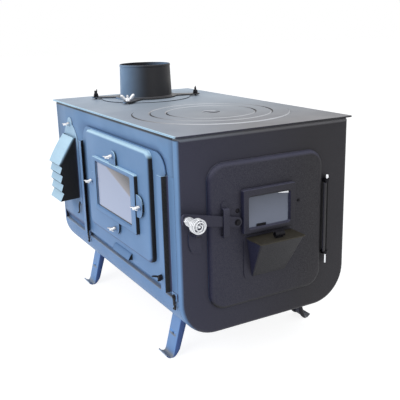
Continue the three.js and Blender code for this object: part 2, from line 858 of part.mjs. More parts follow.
// The knuckle: a tube on the door's edge that turns on the hinge pin, with the leaf that carries it.
function hingeKnuckle() {
  const leaf = box(doorOutline.x1 - 6, hingeX, knuckleBottom, knuckleTop, doorFace + seatGap, doorFace + seatGap + sheet);
  const web = box(hingeX - knuckleRadius, hingeX, knuckleBottom, knuckleTop, hingeOut, doorFace + seatGap + sheet);
  const length = knuckleTop - knuckleBottom;
  const tube = new THREE.CylinderGeometry(knuckleRadius, knuckleRadius, length, smallFacets);
  const bore = new THREE.CylinderGeometry(pinRadius + pinClearance, pinRadius + pinClearance, length + 2, smallFacets);
  const middle = (knuckleTop + knuckleBottom) / 2;
  return cut(
    join(leaf, web, tube.translate(hingeX, middle, hingeOut)),
    bore.translate(hingeX, middle, hingeOut),
  );
}

// A fixed eye on the front plate that carries one end of the hinge pin.
function hingeEye(low) {
  const shape = new THREE.Shape();
  shape.moveTo(hingeX - eyeRadius, seatGap);
  shape.lineTo(hingeX + eyeRadius, seatGap);
  shape.lineTo(hingeX + eyeRadius, hingeOut);
  shape.absarc(hingeX, hingeOut, eyeRadius, 0, Math.PI);
  shape.holes.push(new THREE.Path().absarc(hingeX, hingeOut, pinRadius + pinClearance, 0, 2 * Math.PI, true));
  return upright(shape, low, low + eyeHeight);
}

function hingePin() {
  const head = new THREE.SphereGeometry(pinHeadRadius, smallFacets, smallFacets / 2);
  const length = pinTop - pinBottom;
  const shaft = new THREE.CylinderGeometry(pinRadius, pinRadius, length, smallFacets);
  return join(
    shaft.translate(hingeX, (pinTop + pinBottom) / 2, hingeOut),
    head.translate(hingeX, pinTop + pinHeadRadius * 0.7, hingeOut),
  );
}

// The guide that the latch bar passes behind: a strap on two legs, with a round foot above.
function latchBracket() {
  const back = doorFace + seatGap;
  const strap = polygon([
    [back, bracketTop],
    [bracketFront, bracketTop],
    [bracketFront, bracketBottom],
    [back, bracketBottom],
    [back, bracketBottom + bracketSheet],
    [bracketFront - bracketSheet, bracketBottom + bracketSheet],
    [bracketFront - bracketSheet, bracketTop - bracketSheet],
    [back, bracketTop - bracketSheet],
  ]);
  const foot = new THREE.Shape();
  foot.moveTo(bracketX - bracketWidth / 2, bracketTop - bracketSheet);
  foot.lineTo(bracketX + bracketWidth / 2, bracketTop - bracketSheet);
  foot.lineTo(bracketX + bracketWidth / 2, bracketTop + bracketFoot - bracketWidth / 2);
  foot.absarc(bracketX, bracketTop + bracketFoot - bracketWidth / 2, bracketWidth / 2, 0, Math.PI);
  return join(across(strap, bracketX, bracketWidth), plate(foot, back, back + bracketSheet));
}

// ---------- Latch, drawn with its pivot at the origin and its bar along -x; the latch group tilts it ----------

function latchBar() {
  const half = barHeight / 2;
  const tail = latchReach + half;
  const shape = new THREE.Shape();
  shape.moveTo(0, -half);
  shape.absarc(0, 0, half, -Math.PI / 2, Math.PI / 2);
  shape.lineTo(-tail + half / 2, half);
  shape.quadraticCurveTo(-tail, half, -tail, 0);
  shape.quadraticCurveTo(-tail, -half, -tail + half / 2, -half);
  shape.holes.push(new THREE.Path().absarc(0, 0, pivotRadius + pinClearance, 0, 2 * Math.PI, true));
  shape.holes.push(
    new THREE.Path().absarc(-latchReach, 0, coilBoltRadius + pinClearance, 0, 2 * Math.PI, true),
  );
  return plate(shape, barBack, barFront);
}

function pivotBolt() {
  return join(
    rod(pivotRadius, doorFace + seatGap, barFront + seatGap + 1),
    rod(pivotHeadRadius, barFront + seatGap, barFront + seatGap + pivotHeadHeight, 6),
  );
}

const coilStart = barFront + seatGap + handleNutHeight + seatGap;
const coilGrowTurns = (coilRadius - coilNeckRadius) / coilPitch;
const coilOpenTurns = coilNeckTurns + coilGrowTurns + coilBodyTurns;
const coilLength = coilOpenTurns * coilPitch;

// The bolt that the coil is wound round: nut on the bar, shank, and a small head at the outer end.
function handleBolt() {
  const end = coilStart + coilLength + coilWireRadius;
  return join(
    rod(coilBoltRadius, barBack, end),
    rod(handleNutRadius, barFront + seatGap, barFront + seatGap + handleNutHeight, 6),
  );
}

// The middle line of the spring, by turns: a narrow neck, a flare, the wide grip, then it spirals in flat.
function coilPoint(turns) {
  const growing = Math.min(Math.max(turns - coilNeckTurns, 0), coilGrowTurns);
  const closing = Math.max(turns - coilOpenTurns, 0);
  const radius = coilNeckRadius + growing * coilPitch - closing * coilPitch;
  const along = Math.min(turns, coilOpenTurns) * coilPitch;
  const angle = 2 * Math.PI * turns;
  return new THREE.Vector3(radius * Math.cos(angle), radius * Math.sin(angle), along);
}

function handleCoil() {
  const closeTurns = (coilRadius - coilEndRadius) / coilPitch;
  const turns = coilOpenTurns + closeTurns;
  const steps = Math.round(turns * coilSteps);
  const line = Array.from({ length: steps + 1 }, (_, k) => coilPoint((k / steps) * turns));
  const gap = leastGap(line);
  console.log("handle coil: least gap to itself " + gap.toFixed(2) + " mm");
  const axis = new THREE.Vector3(0, 0, 1);
  const rings = line.map((point, k) => {
    const ahead = line[Math.min(k + 1, steps)];
    const behind = line[Math.max(k - 1, 0)];
    const along = ahead.clone().sub(behind).normalize();
    const out = axis.clone().cross(along).normalize();
    const up = along.clone().cross(out);
    return Array.from({ length: coilSides }, (_, j) => {
      const angle = (j / coilSides) * 2 * Math.PI;
      return point
        .clone()
        .addScaledVector(out, coilWireRadius * Math.cos(angle))
        .addScaledVector(up, coilWireRadius * Math.sin(angle));
    });
  });
  return loft(rings).translate(0, 0, coilStart + coilWireRadius);
}

// The least clear distance between stretches of the wire at least half a turn apart.
function leastGap(line) {
  let least = Infinity;
  line.forEach((a, i) =>
    line.slice(i + coilSteps / 2).forEach((b) => {
      least = Math.min(least, a.distanceTo(b) - 2 * coilWireRadius);
    }),
  );
  return least;
}

// The keeper: a plate with a curved left edge, a shelf for the lowered bar, and a lip in front of the bar.
function latchKeeper() {
  const { left, right, top, bottom } = keeper;
  const shape = new THREE.Shape();
  shape.moveTo(right, top);
  shape.lineTo(left + 9, top);
  shape.quadraticCurveTo(left - 5, (top + bottom) / 2, left + 7, bottom + 5);
  shape.quadraticCurveTo(left + 10, bottom, left + 16, bottom);
  shape.lineTo(right, bottom);
  const shelf = latchPivot.z - barHeight / 2 - seatGap;
  const front = barFront + keeperClearance;
  const tongue = polygon([
    [seatGap, shelf - keeperSheet],
    [front + keeperSheet, shelf - keeperSheet],
    [front + keeperSheet, shelf + keeperLip],
    [front, shelf + keeperLip],
    [front, shelf],
    [seatGap, shelf],
  ]);
  return join(
    plate(shape, seatGap, seatGap + keeperSheet),
    across(tongue, (keeperTongue.left + keeperTongue.right) / 2, keeperTongue.right - keeperTongue.left),
  );
}

// ---------- Air box and lid ----------

// The air box: a hopper open at its top and back, on a flange with round corners.
function airBox() {
  const back = doorFace + seatGap;
  const hull = (shrink) => {
    const topHalf = airBoxTopWidth / 2 - shrink;
    const lowHalf = airBoxBottomWidth / 2 - shrink;
    const reach = doorFace + airBoxReach - shrink;
    const toe = back + airBoxToe - shrink / 2;
    const overcut = shrink ? 1 : 0;
    const low = airBoxBottom + shrink;
    const corners = [
      [topHalf, airBoxTop + overcut, back - overcut],
      [topHalf, airBoxTop + overcut, reach],
      [lowHalf, low, back - overcut],
      [lowHalf, low, toe],
    ];
    const both = corners.flatMap(([x, y, z]) => [new THREE.Vector3(x, y, z), new THREE.Vector3(-x, y, z)]);
    return new ConvexGeometry(both);
  };
  const half = airFlange.width / 2;
  const flange = roundedRectangle(-half, half, airFlange.bottom, airFlange.top, airFlange.radius);
  const body = cut(join(plate(flange, back, back + airSheet), hull(0)), hull(airSheet));
  return body.translate(airBoxCentre, 0, 0);
}

const lidHinge = {
  out: doorFace + airSheet + 3 * seatGap + airLidThickness / 2,
  z: airBoxTop + seatGap + airLidThickness / 2,
};

// The lid: a plate with a round back edge, about which it swings up.
function airLid() {
  const half = airLidThickness / 2;
  const shape = new THREE.Shape();
  shape.moveTo(0, half);
  shape.absarc(0, 0, half, Math.PI / 2, 1.5 * Math.PI);
  shape.lineTo(airLidReach - half, -half);
  shape.lineTo(airLidReach - half, half);
  return across(shape, 0, airLidWidth);
}

// The lid's grip: a short tube on a stem.
function lidGrip() {
  const tube = new THREE.Shape().absarc(0, 0, gripRadius, 0, 2 * Math.PI);
  const stem = box(-gripLength / 3, gripLength / 3, -gripRadius - gripStem, -gripRadius + 1, -2, 2);
  const body = join(plate(tube, -gripLength / 2, gripLength / 2, smallFacets / 2).rotateY(Math.PI / 2), stem);
  return cut(body, rod(gripBore, -gripLength, gripLength).rotateY(Math.PI / 2));
}

// ---------- Left side, drawn with x towards the front from the panel's middle, y up and z out ----------

const panOutline = {
  x0: -panHalfWidth,
  x1: panHalfWidth,
  y0: panBottom,
  y1: panTop,
  low: panCornerRadius,
  high: panCornerRadius,
};

// Where each clamp's stud stands, and how far the clamp is turned from pointing up.
const clampStudOffset = smallNutSpan / 2 + clampNutGap; // frame's side to each stud
const clampPlaces = {
  top: { x: sideWindow.x, y: sideWindow.z + sideWindow.height / 2 + clampStudOffset, turn: 0 },
  bottom: { x: sideWindow.x, y: sideWindow.z - sideWindow.height / 2 - clampStudOffset, turn: Math.PI },
  front: { x: sideWindow.x + sideWindow.width / 2 + clampStudOffset, y: sideWindow.z, turn: -Math.PI / 2 },
  rear: { x: sideWindow.x - sideWindow.width / 2 - clampStudOffset, y: sideWindow.z, turn: Math.PI / 2 },
};

// The lift-off panel: a plate with a raised pan, edges turned out to run in the rails, a louvred
// finger pull at the bottom, and welded studs for the window's clamps.
function sidePanel() {
  const plateOutline = {
    x0: -panelHalfWidth,
    x1: panelHalfWidth,
    y0: panelBottom,
    y1: panelTop,
    low: 3,
    high: 3,
  };
  const shell = pan(panOutline, panelLift, panOut, panEdgeRadius, sheet, plateOutline);
  const edge = railDepth - sheet - seatGap;
  const returns = [1, -1].map((side) => {
    const outer = side * panelHalfWidth;
    const inner = outer - side * sheet;
    const low = Math.min(inner, outer);
    return box(low, low + sheet, panelBottom + 3, railTop - 2 * panelShoulder, panelLift + sheet / 2, edge);
  });
  const studTop = sideLug.thickness + clampThickness + 2 * seatGap + studProud;
  const studs = Object.values(clampPlaces).map(({ x, y }) =>
    rod(studRadius, panOut - sheet / 2, panOut + studTop).translate(x, y, 0),
  );
  const low = panelBottom + louvreRise;
  const louvre = across(
    polygon([
      [sidePlateFront - 1, low + louvreHeight],
      [sidePlateFront, low + louvreHeight],
      [sidePlateFront + louvreReach, low + sheet],
      [sidePlateFront + louvreReach, low],
      [sidePlateFront + louvreReach - sheet, low],
      [sidePlateFront - 1, low + louvreHeight - 2 * sheet],
    ]),
    0,
    louvreWidth,
  );
  const glassHole = centredRectangle(sideGlassOpening, sideFrameCorner, -1);
  const shoulder = panHalfWidth + panelShoulder;
  const cornerCuts = [1, -1].map((side) => {
    const edges = [side * shoulder, side * (panelHalfWidth + 1)];
    return box(Math.min(...edges), Math.max(...edges), railTop - panelShoulder, panelTop + 1, 0, panOut);
  });
  return cut(join(shell, ...returns, ...studs, louvre), plate(glassHole, 0, panOut + 1), ...cornerCuts);
}

// The side window's frame, with a lug in the middle of each side.
function sideFrame(back) {
  const lugs = Object.entries(clampPlaces).map(([name, { x, y, turn }]) => {
    const half = clampLength[name] / 2 - clampBeyondLug;
    const outer = sideLug.reach - clampStudOffset;
    return box(-half, half, -clampStudOffset - 1, outer, back, back + sideLug.thickness).rotateZ(turn).translate(x, y, 0);
  });
  return join(windowFrame(sideWindow, sideGlassOpening, back, sideFrameDepth, sideFrameCorner), ...lugs);
}

// A D-shaped clamp that holds a lug of the frame down; its straight side points along -y.
function clamp(length) {
  const half = length / 2;
  const straight = clampGap - clampStudOffset;
  const shape = new THREE.Shape();
  shape.moveTo(-half, straight);
  shape.lineTo(half, straight);
  shape.lineTo(half, straight + sideLug.reach);
  shape.quadraticCurveTo(half, clampReach, 0, clampReach);
  shape.quadraticCurveTo(-half, clampReach, -half, straight + sideLug.reach);
  shape.holes.push(new THREE.Path().absarc(0, 0, studRadius + studClearance, 0, 2 * Math.PI, true));
  const heel = box(-half / 3, half / 3, clampReach * 0.5, clampReach * 0.8, -sideLug.thickness, clampThickness / 2);
  return join(plate(shape, 0, clampThickness, smallFacets / 2), heel);
}

// A rail: a flange on the wall, a web that stands out, and a lip over the panel's edge.
function rail(side) {
  const web = panelHalfWidth + railClearance;
  const section = polygon(
    [
      [web + railFlange, seatGap],
      [web + railFlange, seatGap + sheet],
      [web + sheet, seatGap + sheet],
      [web + sheet, railDepth],
      [web + sheet - railLip, railDepth],
      [web + sheet - railLip, railDepth - sheet],
      [web, railDepth - sheet],
      [web, seatGap],
    ].map(([x, z]) => [side * x, z]),
  );
  const span = (a, b) => [Math.min(side * a, side * b), Math.max(side * a, side * b)];
  const [stop0, stop1] = span(web + sheet - railLip, web + sheet / 2);
  const stop = box(stop0, stop1, railBottom, railBottom + sheet - seatGap, seatGap + 1, railDepth - sheet / 2);
  const [foot0, foot1] = span(web + sheet / 2, web + railFlange);
  const foot = box(foot0, foot1, railBottom - railFoot, railBottom + sheet, seatGap, seatGap + sheet);
  const body = join(upright(section, railBottom, railTop), stop, foot);
  if (side < 0) return body;
  return cut(body, rod(studRadius + pinClearance, railDepth / 2, 2 * railDepth).translate(lockPlace.x, lockPlace.y, 0));
}

const lockPlace = { x: panelHalfWidth + railClearance + sheet - railLip + lockInset, y: lockHeight };
const hookPlace = {
  x: panelHalfWidth + railClearance + sheet + railFlange / 2,
  y: railBottom - railFoot + hookHeadRadius + 1,
};

// A swivel hook: a round head with a curved tail, and the rivet through it.
function swivelHook() {
  const half = hookTailWidth / 2;
  const shape = new THREE.Shape();
  shape.absarc(0, 0, hookHeadRadius, -0.3 * Math.PI, 1.3 * Math.PI);
  shape.quadraticCurveTo(-half, -hookLength * 0.5, half * 0.6, -hookLength * 0.72);
  shape.lineTo(-half * 1.8, -hookLength + half);
  shape.lineTo(-half * 1.2, -hookLength);
  shape.quadraticCurveTo(half * 2.4, -hookLength, half * 2.6, -hookLength * 0.7);
  shape.quadraticCurveTo(half * 1.6, -hookLength * 0.4, hookHeadRadius * 0.6, -hookHeadRadius * 0.8);
  const base = 2 * seatGap + sheet;
  return join(
    plate(shape, base, base + hookThickness),
    rod(hookRivetHead, base + hookThickness - 0.5, base + hookThickness + 1.5, smallFacets, hookRivetRadius),
  );
}

// ---------- Louvred hood, drawn as the left side is but with x = 0 at the hood's middle ----------

// The hood's side outline as [out, height] pairs: a sloping roof, then tiers that flare and step back.
// Drawn in by the sheet's thickness it is the hollow, which runs on through the open foot.
function hoodProfile(shrink) {
  const points = [
    [hoodApexOut - shrink, hoodApex - shrink],
    [hoodFirstTip.out - 1.4 * shrink, hoodFirstTip.z],
  ];
  for (let tier = 0; tier < hoodTiers; tier++) {
    const rootZ = hoodFirstTip.z - hoodStep - tier * hoodPitch;
    points.push([hoodRootOut - shrink, rootZ]);
    points.push([hoodTipOut - shrink, rootZ - (hoodPitch - hoodStep)]);
  }
  const mouth = points[points.length - 1];
  return shrink ? [...points, [mouth[0], mouth[1] - 1]] : points;
}

const hoodBack = 2 * seatGap + sheet;

function louvredHood() {
  const closedProfile = (shrink, back, foot) => [[back, hoodApex - shrink], ...hoodProfile(shrink), [back, foot]];
  const outer = across(polygon(closedProfile(0, hoodBack, hoodFoot)), 0, hoodWidth);
  const inner = across(
    polygon(closedProfile(hoodSheet, hoodBack - 1, hoodFoot - 1)),
    0,
    hoodWidth - 2 * hoodSheet,
  );
  const slots = Array.from({ length: hoodTiers }, (_, tier) => {
    const root = hoodFirstTip.z - hoodStep - tier * hoodPitch;
    return box(-hoodWidth / 2 + 6, hoodWidth / 2 - 6, root + 1, root + 1 + hoodSlotHeight,
      hoodRootOut - 3 * hoodSheet, hoodFirstTip.out + 1);
  });
  return cut(outer, inner, ...slots);
}

function hoodPlate() {
  const w = hoodPlateHalfWidth;
  const shape = new THREE.Shape();
  shape.moveTo(-w, hoodPlateBottom);
  shape.lineTo(w, hoodPlateBottom);
  shape.lineTo(w, hoodApex - hoodPlateShoulder);
  shape.quadraticCurveTo(w - 4, hoodStudHeight - hoodPlateHead, hoodPlateHead, hoodStudHeight);
  shape.absarc(0, hoodStudHeight, hoodPlateHead, 0, Math.PI);
  shape.quadraticCurveTo(-w + 4, hoodStudHeight - hoodPlateHead, -w, hoodApex - hoodPlateShoulder);
  shape.holes.push(
    new THREE.Path().absarc(0, hoodStudHeight, studRadius + studClearance, 0, 2 * Math.PI, true),
    airWay(),
  );
  const { width, drop, reach } = hoodHook;
  const hook = across(
    polygon([
      [seatGap, hoodPlateBottom + sheet],
      [seatGap + sheet, hoodPlateBottom + sheet],
      [seatGap + sheet, hoodPlateBottom - drop / 2],
      [seatGap + reach, hoodPlateBottom],
      [seatGap + reach, hoodPlateBottom - sheet],
      [seatGap + sheet, hoodPlateBottom - drop],
      [seatGap, hoodPlateBottom - drop],
    ]),
    width,
    sheet,
  );
  return join(plate(shape, seatGap, seatGap + sheet), hook);
}

// The air way through the hood's plate and the wall behind it.
const airWay = () =>
  roundedRectangle(-hoodWidth / 2 + 14, hoodWidth / 2 - 14, hoodFoot + 12, hoodFirstTip.z, 6);

// The left wall, with its openings behind the window panel and behind the hood, and the hood's stud.
function leftWall() {
  const ontoWall = (geometry, along) => geometry.rotateY(-Math.PI / 2).translate(-halfWidth, 0, -along);
  const panelOpening = roundedRectangle(
    -wallOpening.width / 2,
    wallOpening.width / 2,
    wallOpening.bottom,
    wallOpening.top,
    wallOpening.radius,
  );
  return cut(
    join(sideWall(-1), ontoWall(rod(studRadius, -sheet / 2, hoodBack + studProud), hoodCentre).translate(0, hoodStudHeight, 0)),
    ontoWall(plate(panelOpening, -wallFlange, wallFlange), sideCentre),
    ontoWall(plate(airWay(), -wallFlange, wallFlange), hoodCentre),
  );
}

// ---------- Assembly ----------

function buildFront() {
  const front = group(
    named("bottom_tub", bottomTub(), sidePaint()),
    named("left_wall", leftWall(), sidePaint()),
    named("right_wall", sideWall(1), darkPaint()),
    named("front_end_plate", frontEndPlate(), frontPaint()),
    named("hinge_eye_top", hingeEye(knuckleTop + seatGap), darkPaint()),
    named("hinge_eye_bottom", hingeEye(knuckleBottom - seatGap - eyeHeight), darkPaint()),
    named("hinge_pin", hingePin(), zinc()),
    named("latch_keeper", latchKeeper(), frontPaint()),
  );
  const rear = named("rear_end_plate", endPlate(), darkPaint());
  rear.rotation.y = Math.PI;
  rear.position.z = -bodyLength;
  front.add(rear);
  const legPlaces = { front: -legInset, rear: -(bodyLength - legInset - legWidth) };
  for (const [end, z] of Object.entries(legPlaces)) {
    for (const [name, side] of Object.entries({ left: -1, right: 1 })) {
      const mesh = named("leg_" + end + "_" + name, leg(side), side < 0 ? sidePaint() : darkPaint());
      mesh.position.z = z;
      front.add(mesh);
    }
  }
  const baffleMesh = named("baffle", baffle(), castIron());
  baffleMesh.position.set(0, baffleHeight, -(bodyLength - rolledEdgeRadius));
  front.add(baffleMesh);
  front.add(buildDoor());
  front.rotation.x = Math.PI / 2;
  return front;
}

function buildDoor() {
  const paneBack = doorFace + seatGap;
  const door = group(
    named("fire_door", fireDoor(), frontPaint()),
    named("door_seal", doorSeal(), rope()),
    named(
      "door_window_frame",
      windowFrame(doorWindow, doorGlassOpening, paneBack, doorFrameDepth, doorFrameCorner),
      frontPaint(),
    ),
    named("door_glass", pane(doorGlassOpening, paneBack + seatGap, doorFrameCorner), glassPane(0x7d8394)),
    named("hinge_knuckle", hingeKnuckle(), darkPaint()),
    named("latch_bracket", latchBracket(), frontPaint()),
    named("air_box", airBox(), frontPaint()),
  );
  for (const [name, { x, z }] of Object.entries(doorScrews)) {
    const screw = named("door_window_screw_" + name, screwHead(screwHeadRadius, screwHeadHeight), zinc());
    screw.position.set(x, z, paneBack);
    door.add(screw);
  }
  const bolt = named("latch_pivot_bolt", pivotBolt(), darkPaint());
  bolt.position.set(latchPivot.x, latchPivot.z, 0);
  const handle = group(
    named("handle_bolt", handleBolt(), zinc()),
    named("handle_coil", handleCoil(), zinc()),
  );
  handle.position.x = -latchReach;
  const latch = group(named("latch_bar", latchBar(), frontPaint()), handle);
  latch.position.set(latchPivot.x, latchPivot.z, 0);
  latch.rotation.z = -THREE.MathUtils.degToRad(latchTilt);
  const grip = named("air_lid_grip", lidGrip(), darkPaint());
  grip.position.set(gripOffset, airLidThickness / 2 + seatGap + gripStem + gripRadius, gripReach);
  const lid = group(named("air_lid", airLid(), darkPaint()), grip);
  lid.position.set(airBoxCentre, lidHinge.z, lidHinge.out);
  door.add(bolt, latch, lid);
  return door;
}

function buildTop() {
  const plateMesh = named("top_plate", topPlate(), topPaint());
  plateMesh.position.z = bodyTop;
  const hobBase = bodyTop + seatGap;
  const rings = group(
    named("hob_ring_outer", hobRing(hobHoleRadius - seatGap, false, innerRingRadius + seatGap), topPaint()),
    named("hob_ring_inner", hobRing(innerRingRadius, true, lidRadius + seatGap), topPaint()),
    named("hob_lid", hobLid(), topPaint()),
  );
  rings.position.set(hobCentre.x, hobCentre.y, hobBase);
  const discBase = topSurface + seatGap;
  const flangeBase = discBase + flueDiscThickness + seatGap;
  const collarBase = flangeBase + flueFlangeThickness + seatGap;
  const disc = named("flue_disc", flueDisc(), topPaint());
  const flange = named("flue_flange", flueFlange(), darkPaint());
  const collar = named("flue_collar", flueCollar(), darkPaint());
  disc.position.set(flueCentre.x, flueCentre.y, discBase);
  flange.position.set(flueCentre.x, flueCentre.y, flangeBase);
  collar.position.set(flueCentre.x, flueCentre.y, collarBase);
  const nutNames = ["front", "right", "left"];
  const nuts = flueStudAngles.map((angle, k) => {
    const nut = named("flue_wing_nut_" + nutNames[k], wingNut(flueNutSpan), k === 0 ? zinc() : darkPaint());
    const { x, y } = flueStud(angle);
    nut.position.set(x, y, collarBase);
    nut.rotation.z = k === 0 ? 0 : flueNutTurn;
    return nut;
  });
  const grateMesh = named("grate", grate(), castIron());
  grateMesh.position.set(0, bodyLength / 2, grateHeight);
  return group(plateMesh, rings, disc, flange, collar, grateMesh, ...nuts);
}

function buildLeftSide() {
  const frameBack = panOut + seatGap;
  const lugFront = frameBack + sideLug.thickness;
  const side = group(
    named("side_panel", sidePanel(), sidePaint()),
    named("side_window_frame", sideFrame(frameBack), sidePaint()),
    named("side_glass", pane(sideGlassOpening, frameBack + seatGap, sideFrameCorner), glassPane(0xc4c8d8)),
    named("rail_front", rail(1), sidePaint()),
    named("rail_rear", rail(-1), sidePaint()),
  );
  for (const [name, { x, y, turn }] of Object.entries(clampPlaces)) {
    const holder = named("clamp_" + name, clamp(clampLength[name]), sidePaint());
    holder.position.set(x, y, lugFront + seatGap);
    holder.rotation.z = turn;
    const nut = named("clamp_nut_" + name, wingNut(smallNutSpan), zinc());
    nut.position.set(x, y, lugFront + clampThickness + 2 * seatGap);
    side.add(holder, nut);
  }
  const lock = named("panel_lock_screw", wingNut(smallNutSpan, sheet), darkPaint()); // backed off the panel
  lock.position.set(lockPlace.x, lockPlace.y, railDepth + 2 * seatGap);
  side.add(lock);
  for (const [name, sign] of Object.entries({ front: 1, rear: -1 })) {
    const hook = named("swivel_hook_" + name, swivelHook(), darkPaint());
    hook.position.set(sign * hookPlace.x, hookPlace.y, 0);
    side.add(hook);
  }
  const nut = named("hood_wing_nut", wingNut(smallNutSpan), zinc());
  nut.position.set(0, hoodStudHeight, hoodBack);
  const hood = group(
    named("hood_plate", hoodPlate(), sidePaint()),
    named("louvred_hood", louvredHood(), sidePaint()),
    nut,
  );
  hood.position.x = sideCentre - hoodCentre;
  side.add(hood);
  const towardsFront = new THREE.Vector3(0, -1, 0);
  const up = new THREE.Vector3(0, 0, 1);
  const out = new THREE.Vector3(-1, 0, 0);
  side.setRotationFromMatrix(new THREE.Matrix4().makeBasis(towardsFront, up, out));
  side.position.set(-halfWidth, sideCentre, 0);
  return side;
}

const stove = group(buildFront(), buildTop(), buildLeftSide());
const extent = new THREE.Box3().setFromObject(stove);
const middle = extent.getCenter(new THREE.Vector3());
stove.position.set(-middle.x, -middle.y, -extent.min.z);

const part = group(stove);
part.updateMatrixWorld(true);

export default part;
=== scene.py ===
"""Tent wood stove: the visual model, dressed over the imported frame.

Shapes are worked out in millimetres, with x = 0 on the stove's middle plane, y = 0 at its front face and
z = 0 on the floor, and are moved into the frame's axes when they become meshes.
"""

import math
from types import SimpleNamespace

import bmesh
import bpy
import numpy as np
from bpy.props import FloatProperty, FloatVectorProperty, IntProperty, PointerProperty
from mathutils import Matrix, Vector
from mathutils.geometry import tessellate_polygon


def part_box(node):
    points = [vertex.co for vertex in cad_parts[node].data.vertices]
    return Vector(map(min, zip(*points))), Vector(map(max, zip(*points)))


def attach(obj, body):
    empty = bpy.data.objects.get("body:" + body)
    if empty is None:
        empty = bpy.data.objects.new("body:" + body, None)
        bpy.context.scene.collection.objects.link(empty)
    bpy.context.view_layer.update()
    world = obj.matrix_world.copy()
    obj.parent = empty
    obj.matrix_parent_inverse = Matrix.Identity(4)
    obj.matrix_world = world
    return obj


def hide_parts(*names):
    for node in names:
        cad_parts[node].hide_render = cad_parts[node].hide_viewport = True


bl_info = {
    "name": "Tent wood stove",
    "version": (1, 0, 0),
    "blender": (4, 5, 0),
    "location": "3D View > Sidebar > Stove",
    "description": "Builds the pieces, finishes and studio of a sheet-steel tent stove",
    "category": "Object",
}

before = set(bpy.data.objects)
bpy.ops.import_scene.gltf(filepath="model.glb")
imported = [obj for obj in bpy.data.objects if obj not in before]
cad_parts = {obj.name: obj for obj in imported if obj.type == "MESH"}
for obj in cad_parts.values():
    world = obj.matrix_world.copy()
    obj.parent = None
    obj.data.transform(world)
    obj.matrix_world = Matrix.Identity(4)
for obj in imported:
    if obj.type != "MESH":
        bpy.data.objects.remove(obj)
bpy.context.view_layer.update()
MM = 0.001
_low, _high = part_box("front_end_plate")
ORIGIN = np.array([(_low.x + _high.x) / 2, _low.y, 0.0])

# Places and clearances that several pieces share, in millimetres
GAP = 0.3  # between separate pieces that touch
DOOR_MIDDLE = (-7.0, 284.5)  # across and up the front face
DOOR_GLASS_MIDDLE = (-11.0, 328.5)
HOB_MIDDLE = (3.0, 225.0)  # across and along the top
FLUE_MIDDLE = (8.5, 572.0)
SMOKE_HOLE = 64  # its radius
FLUE_STUD_CIRCLE = 132.0  # radius of the circle that the flue's studs stand on
FLUE_STUDS = {"front": -135, "right": -20, "left": 153}  # their directions, in degrees
PANEL_MIDDLE = 262.0  # front face to the middle of the side panel
HOOD_MIDDLE = 586.0  # front face to the middle of the hood
HOOD_STUD_HEIGHT = 438


# ---------- Sizes and colours that a user would change ----------


def length(label, millimetres, text):
    return FloatProperty(name=label, description=text, default=millimetres * MM, unit="LENGTH", precision=4)


def colour(label, red, green, blue, text):
    shades = tuple((c / 255) ** 2.2 for c in (red, green, blue))
    return FloatVectorProperty(name=label, description=text, default=shades, subtype="COLOR", min=0, max=1)


class StoveSizes(bpy.types.PropertyGroup):
    """Main sizes of the stove's pieces."""

    half_width: length("Half width", 200, "Middle plane to a side wall")
    body_length: length("Body length", 700, "Front face to rear face")
    body_bottom: length("Body bottom", 86, "Floor to the tub's underside")
    body_top: length("Body top", 486, "Floor to the top plate's underside")
    sheet: length("Sheet", 2, "Thickness of the shell's sheet")
    tub_radius: length("Tub corner", 78, "Radius of the lower corners")
    tub_top: length("Tub top", 166, "Floor to the tub's lip")
    rolled_edge: length("Rolled edge", 10, "Radius of the end plates' rolled edge")
    skirt: length("Skirt", 14, "Depth of an end plate's skirt")
    plate_overhang: length("Top overhang", 5, "How far the top plate stands out past the body")
    plate_thickness: length("Top thickness", 3, "Thickness of the top plate")
    door_width: length("Door width", 268, "Width of the fire door")
    door_height: length("Door height", 293, "Height of the fire door")
    door_corner: length("Door corner", 35, "Radius of the door's corners")
    door_depth: length("Door depth", 11, "How far the door stands out from the front plate")
    door_edge: length("Door edge", 9.5, "Radius of the door's rolled edge")
    coil_radius: length("Coil radius", 13.2, "Axis of the coil handle to the middle of its wire")
    coil_wire: length("Coil wire", 1.25, "Radius of the coil handle's wire")
    coil_neck: length("Coil neck", 7.6, "Radius of the coil handle's narrow first turns")
    coil_pitch: length("Coil pitch", 4.9, "Advance of the coil per turn")
    pan_radius: length("Panel edge", 7, "Radius of the side panel's raised edge")
    collar_radius: length("Collar radius", 68, "Outer radius of the flue collar")
    collar_rim: length("Collar rim", 65.4, "Outer radius of the flue collar at its rim")
    collar_height: length("Collar height", 82, "Height of the flue collar")
    ring_outer: length("Outer ring", 174, "Outer radius of the outer cooking ring")
    ring_inner: length("Inner ring", 134, "Outer radius of the inner cooking ring")
    ring_lid: length("Lid", 98, "Outer radius of the middle lid")
    nut_span: length("Wing nut span", 32, "Tip to tip of a small wing nut")
    flue_nut_span: length("Flue nut span", 38, "Tip to tip of a flue wing nut")
    round_steps: IntProperty(
        name="Round steps", description="Facets round a turned piece", default=128, min=24)


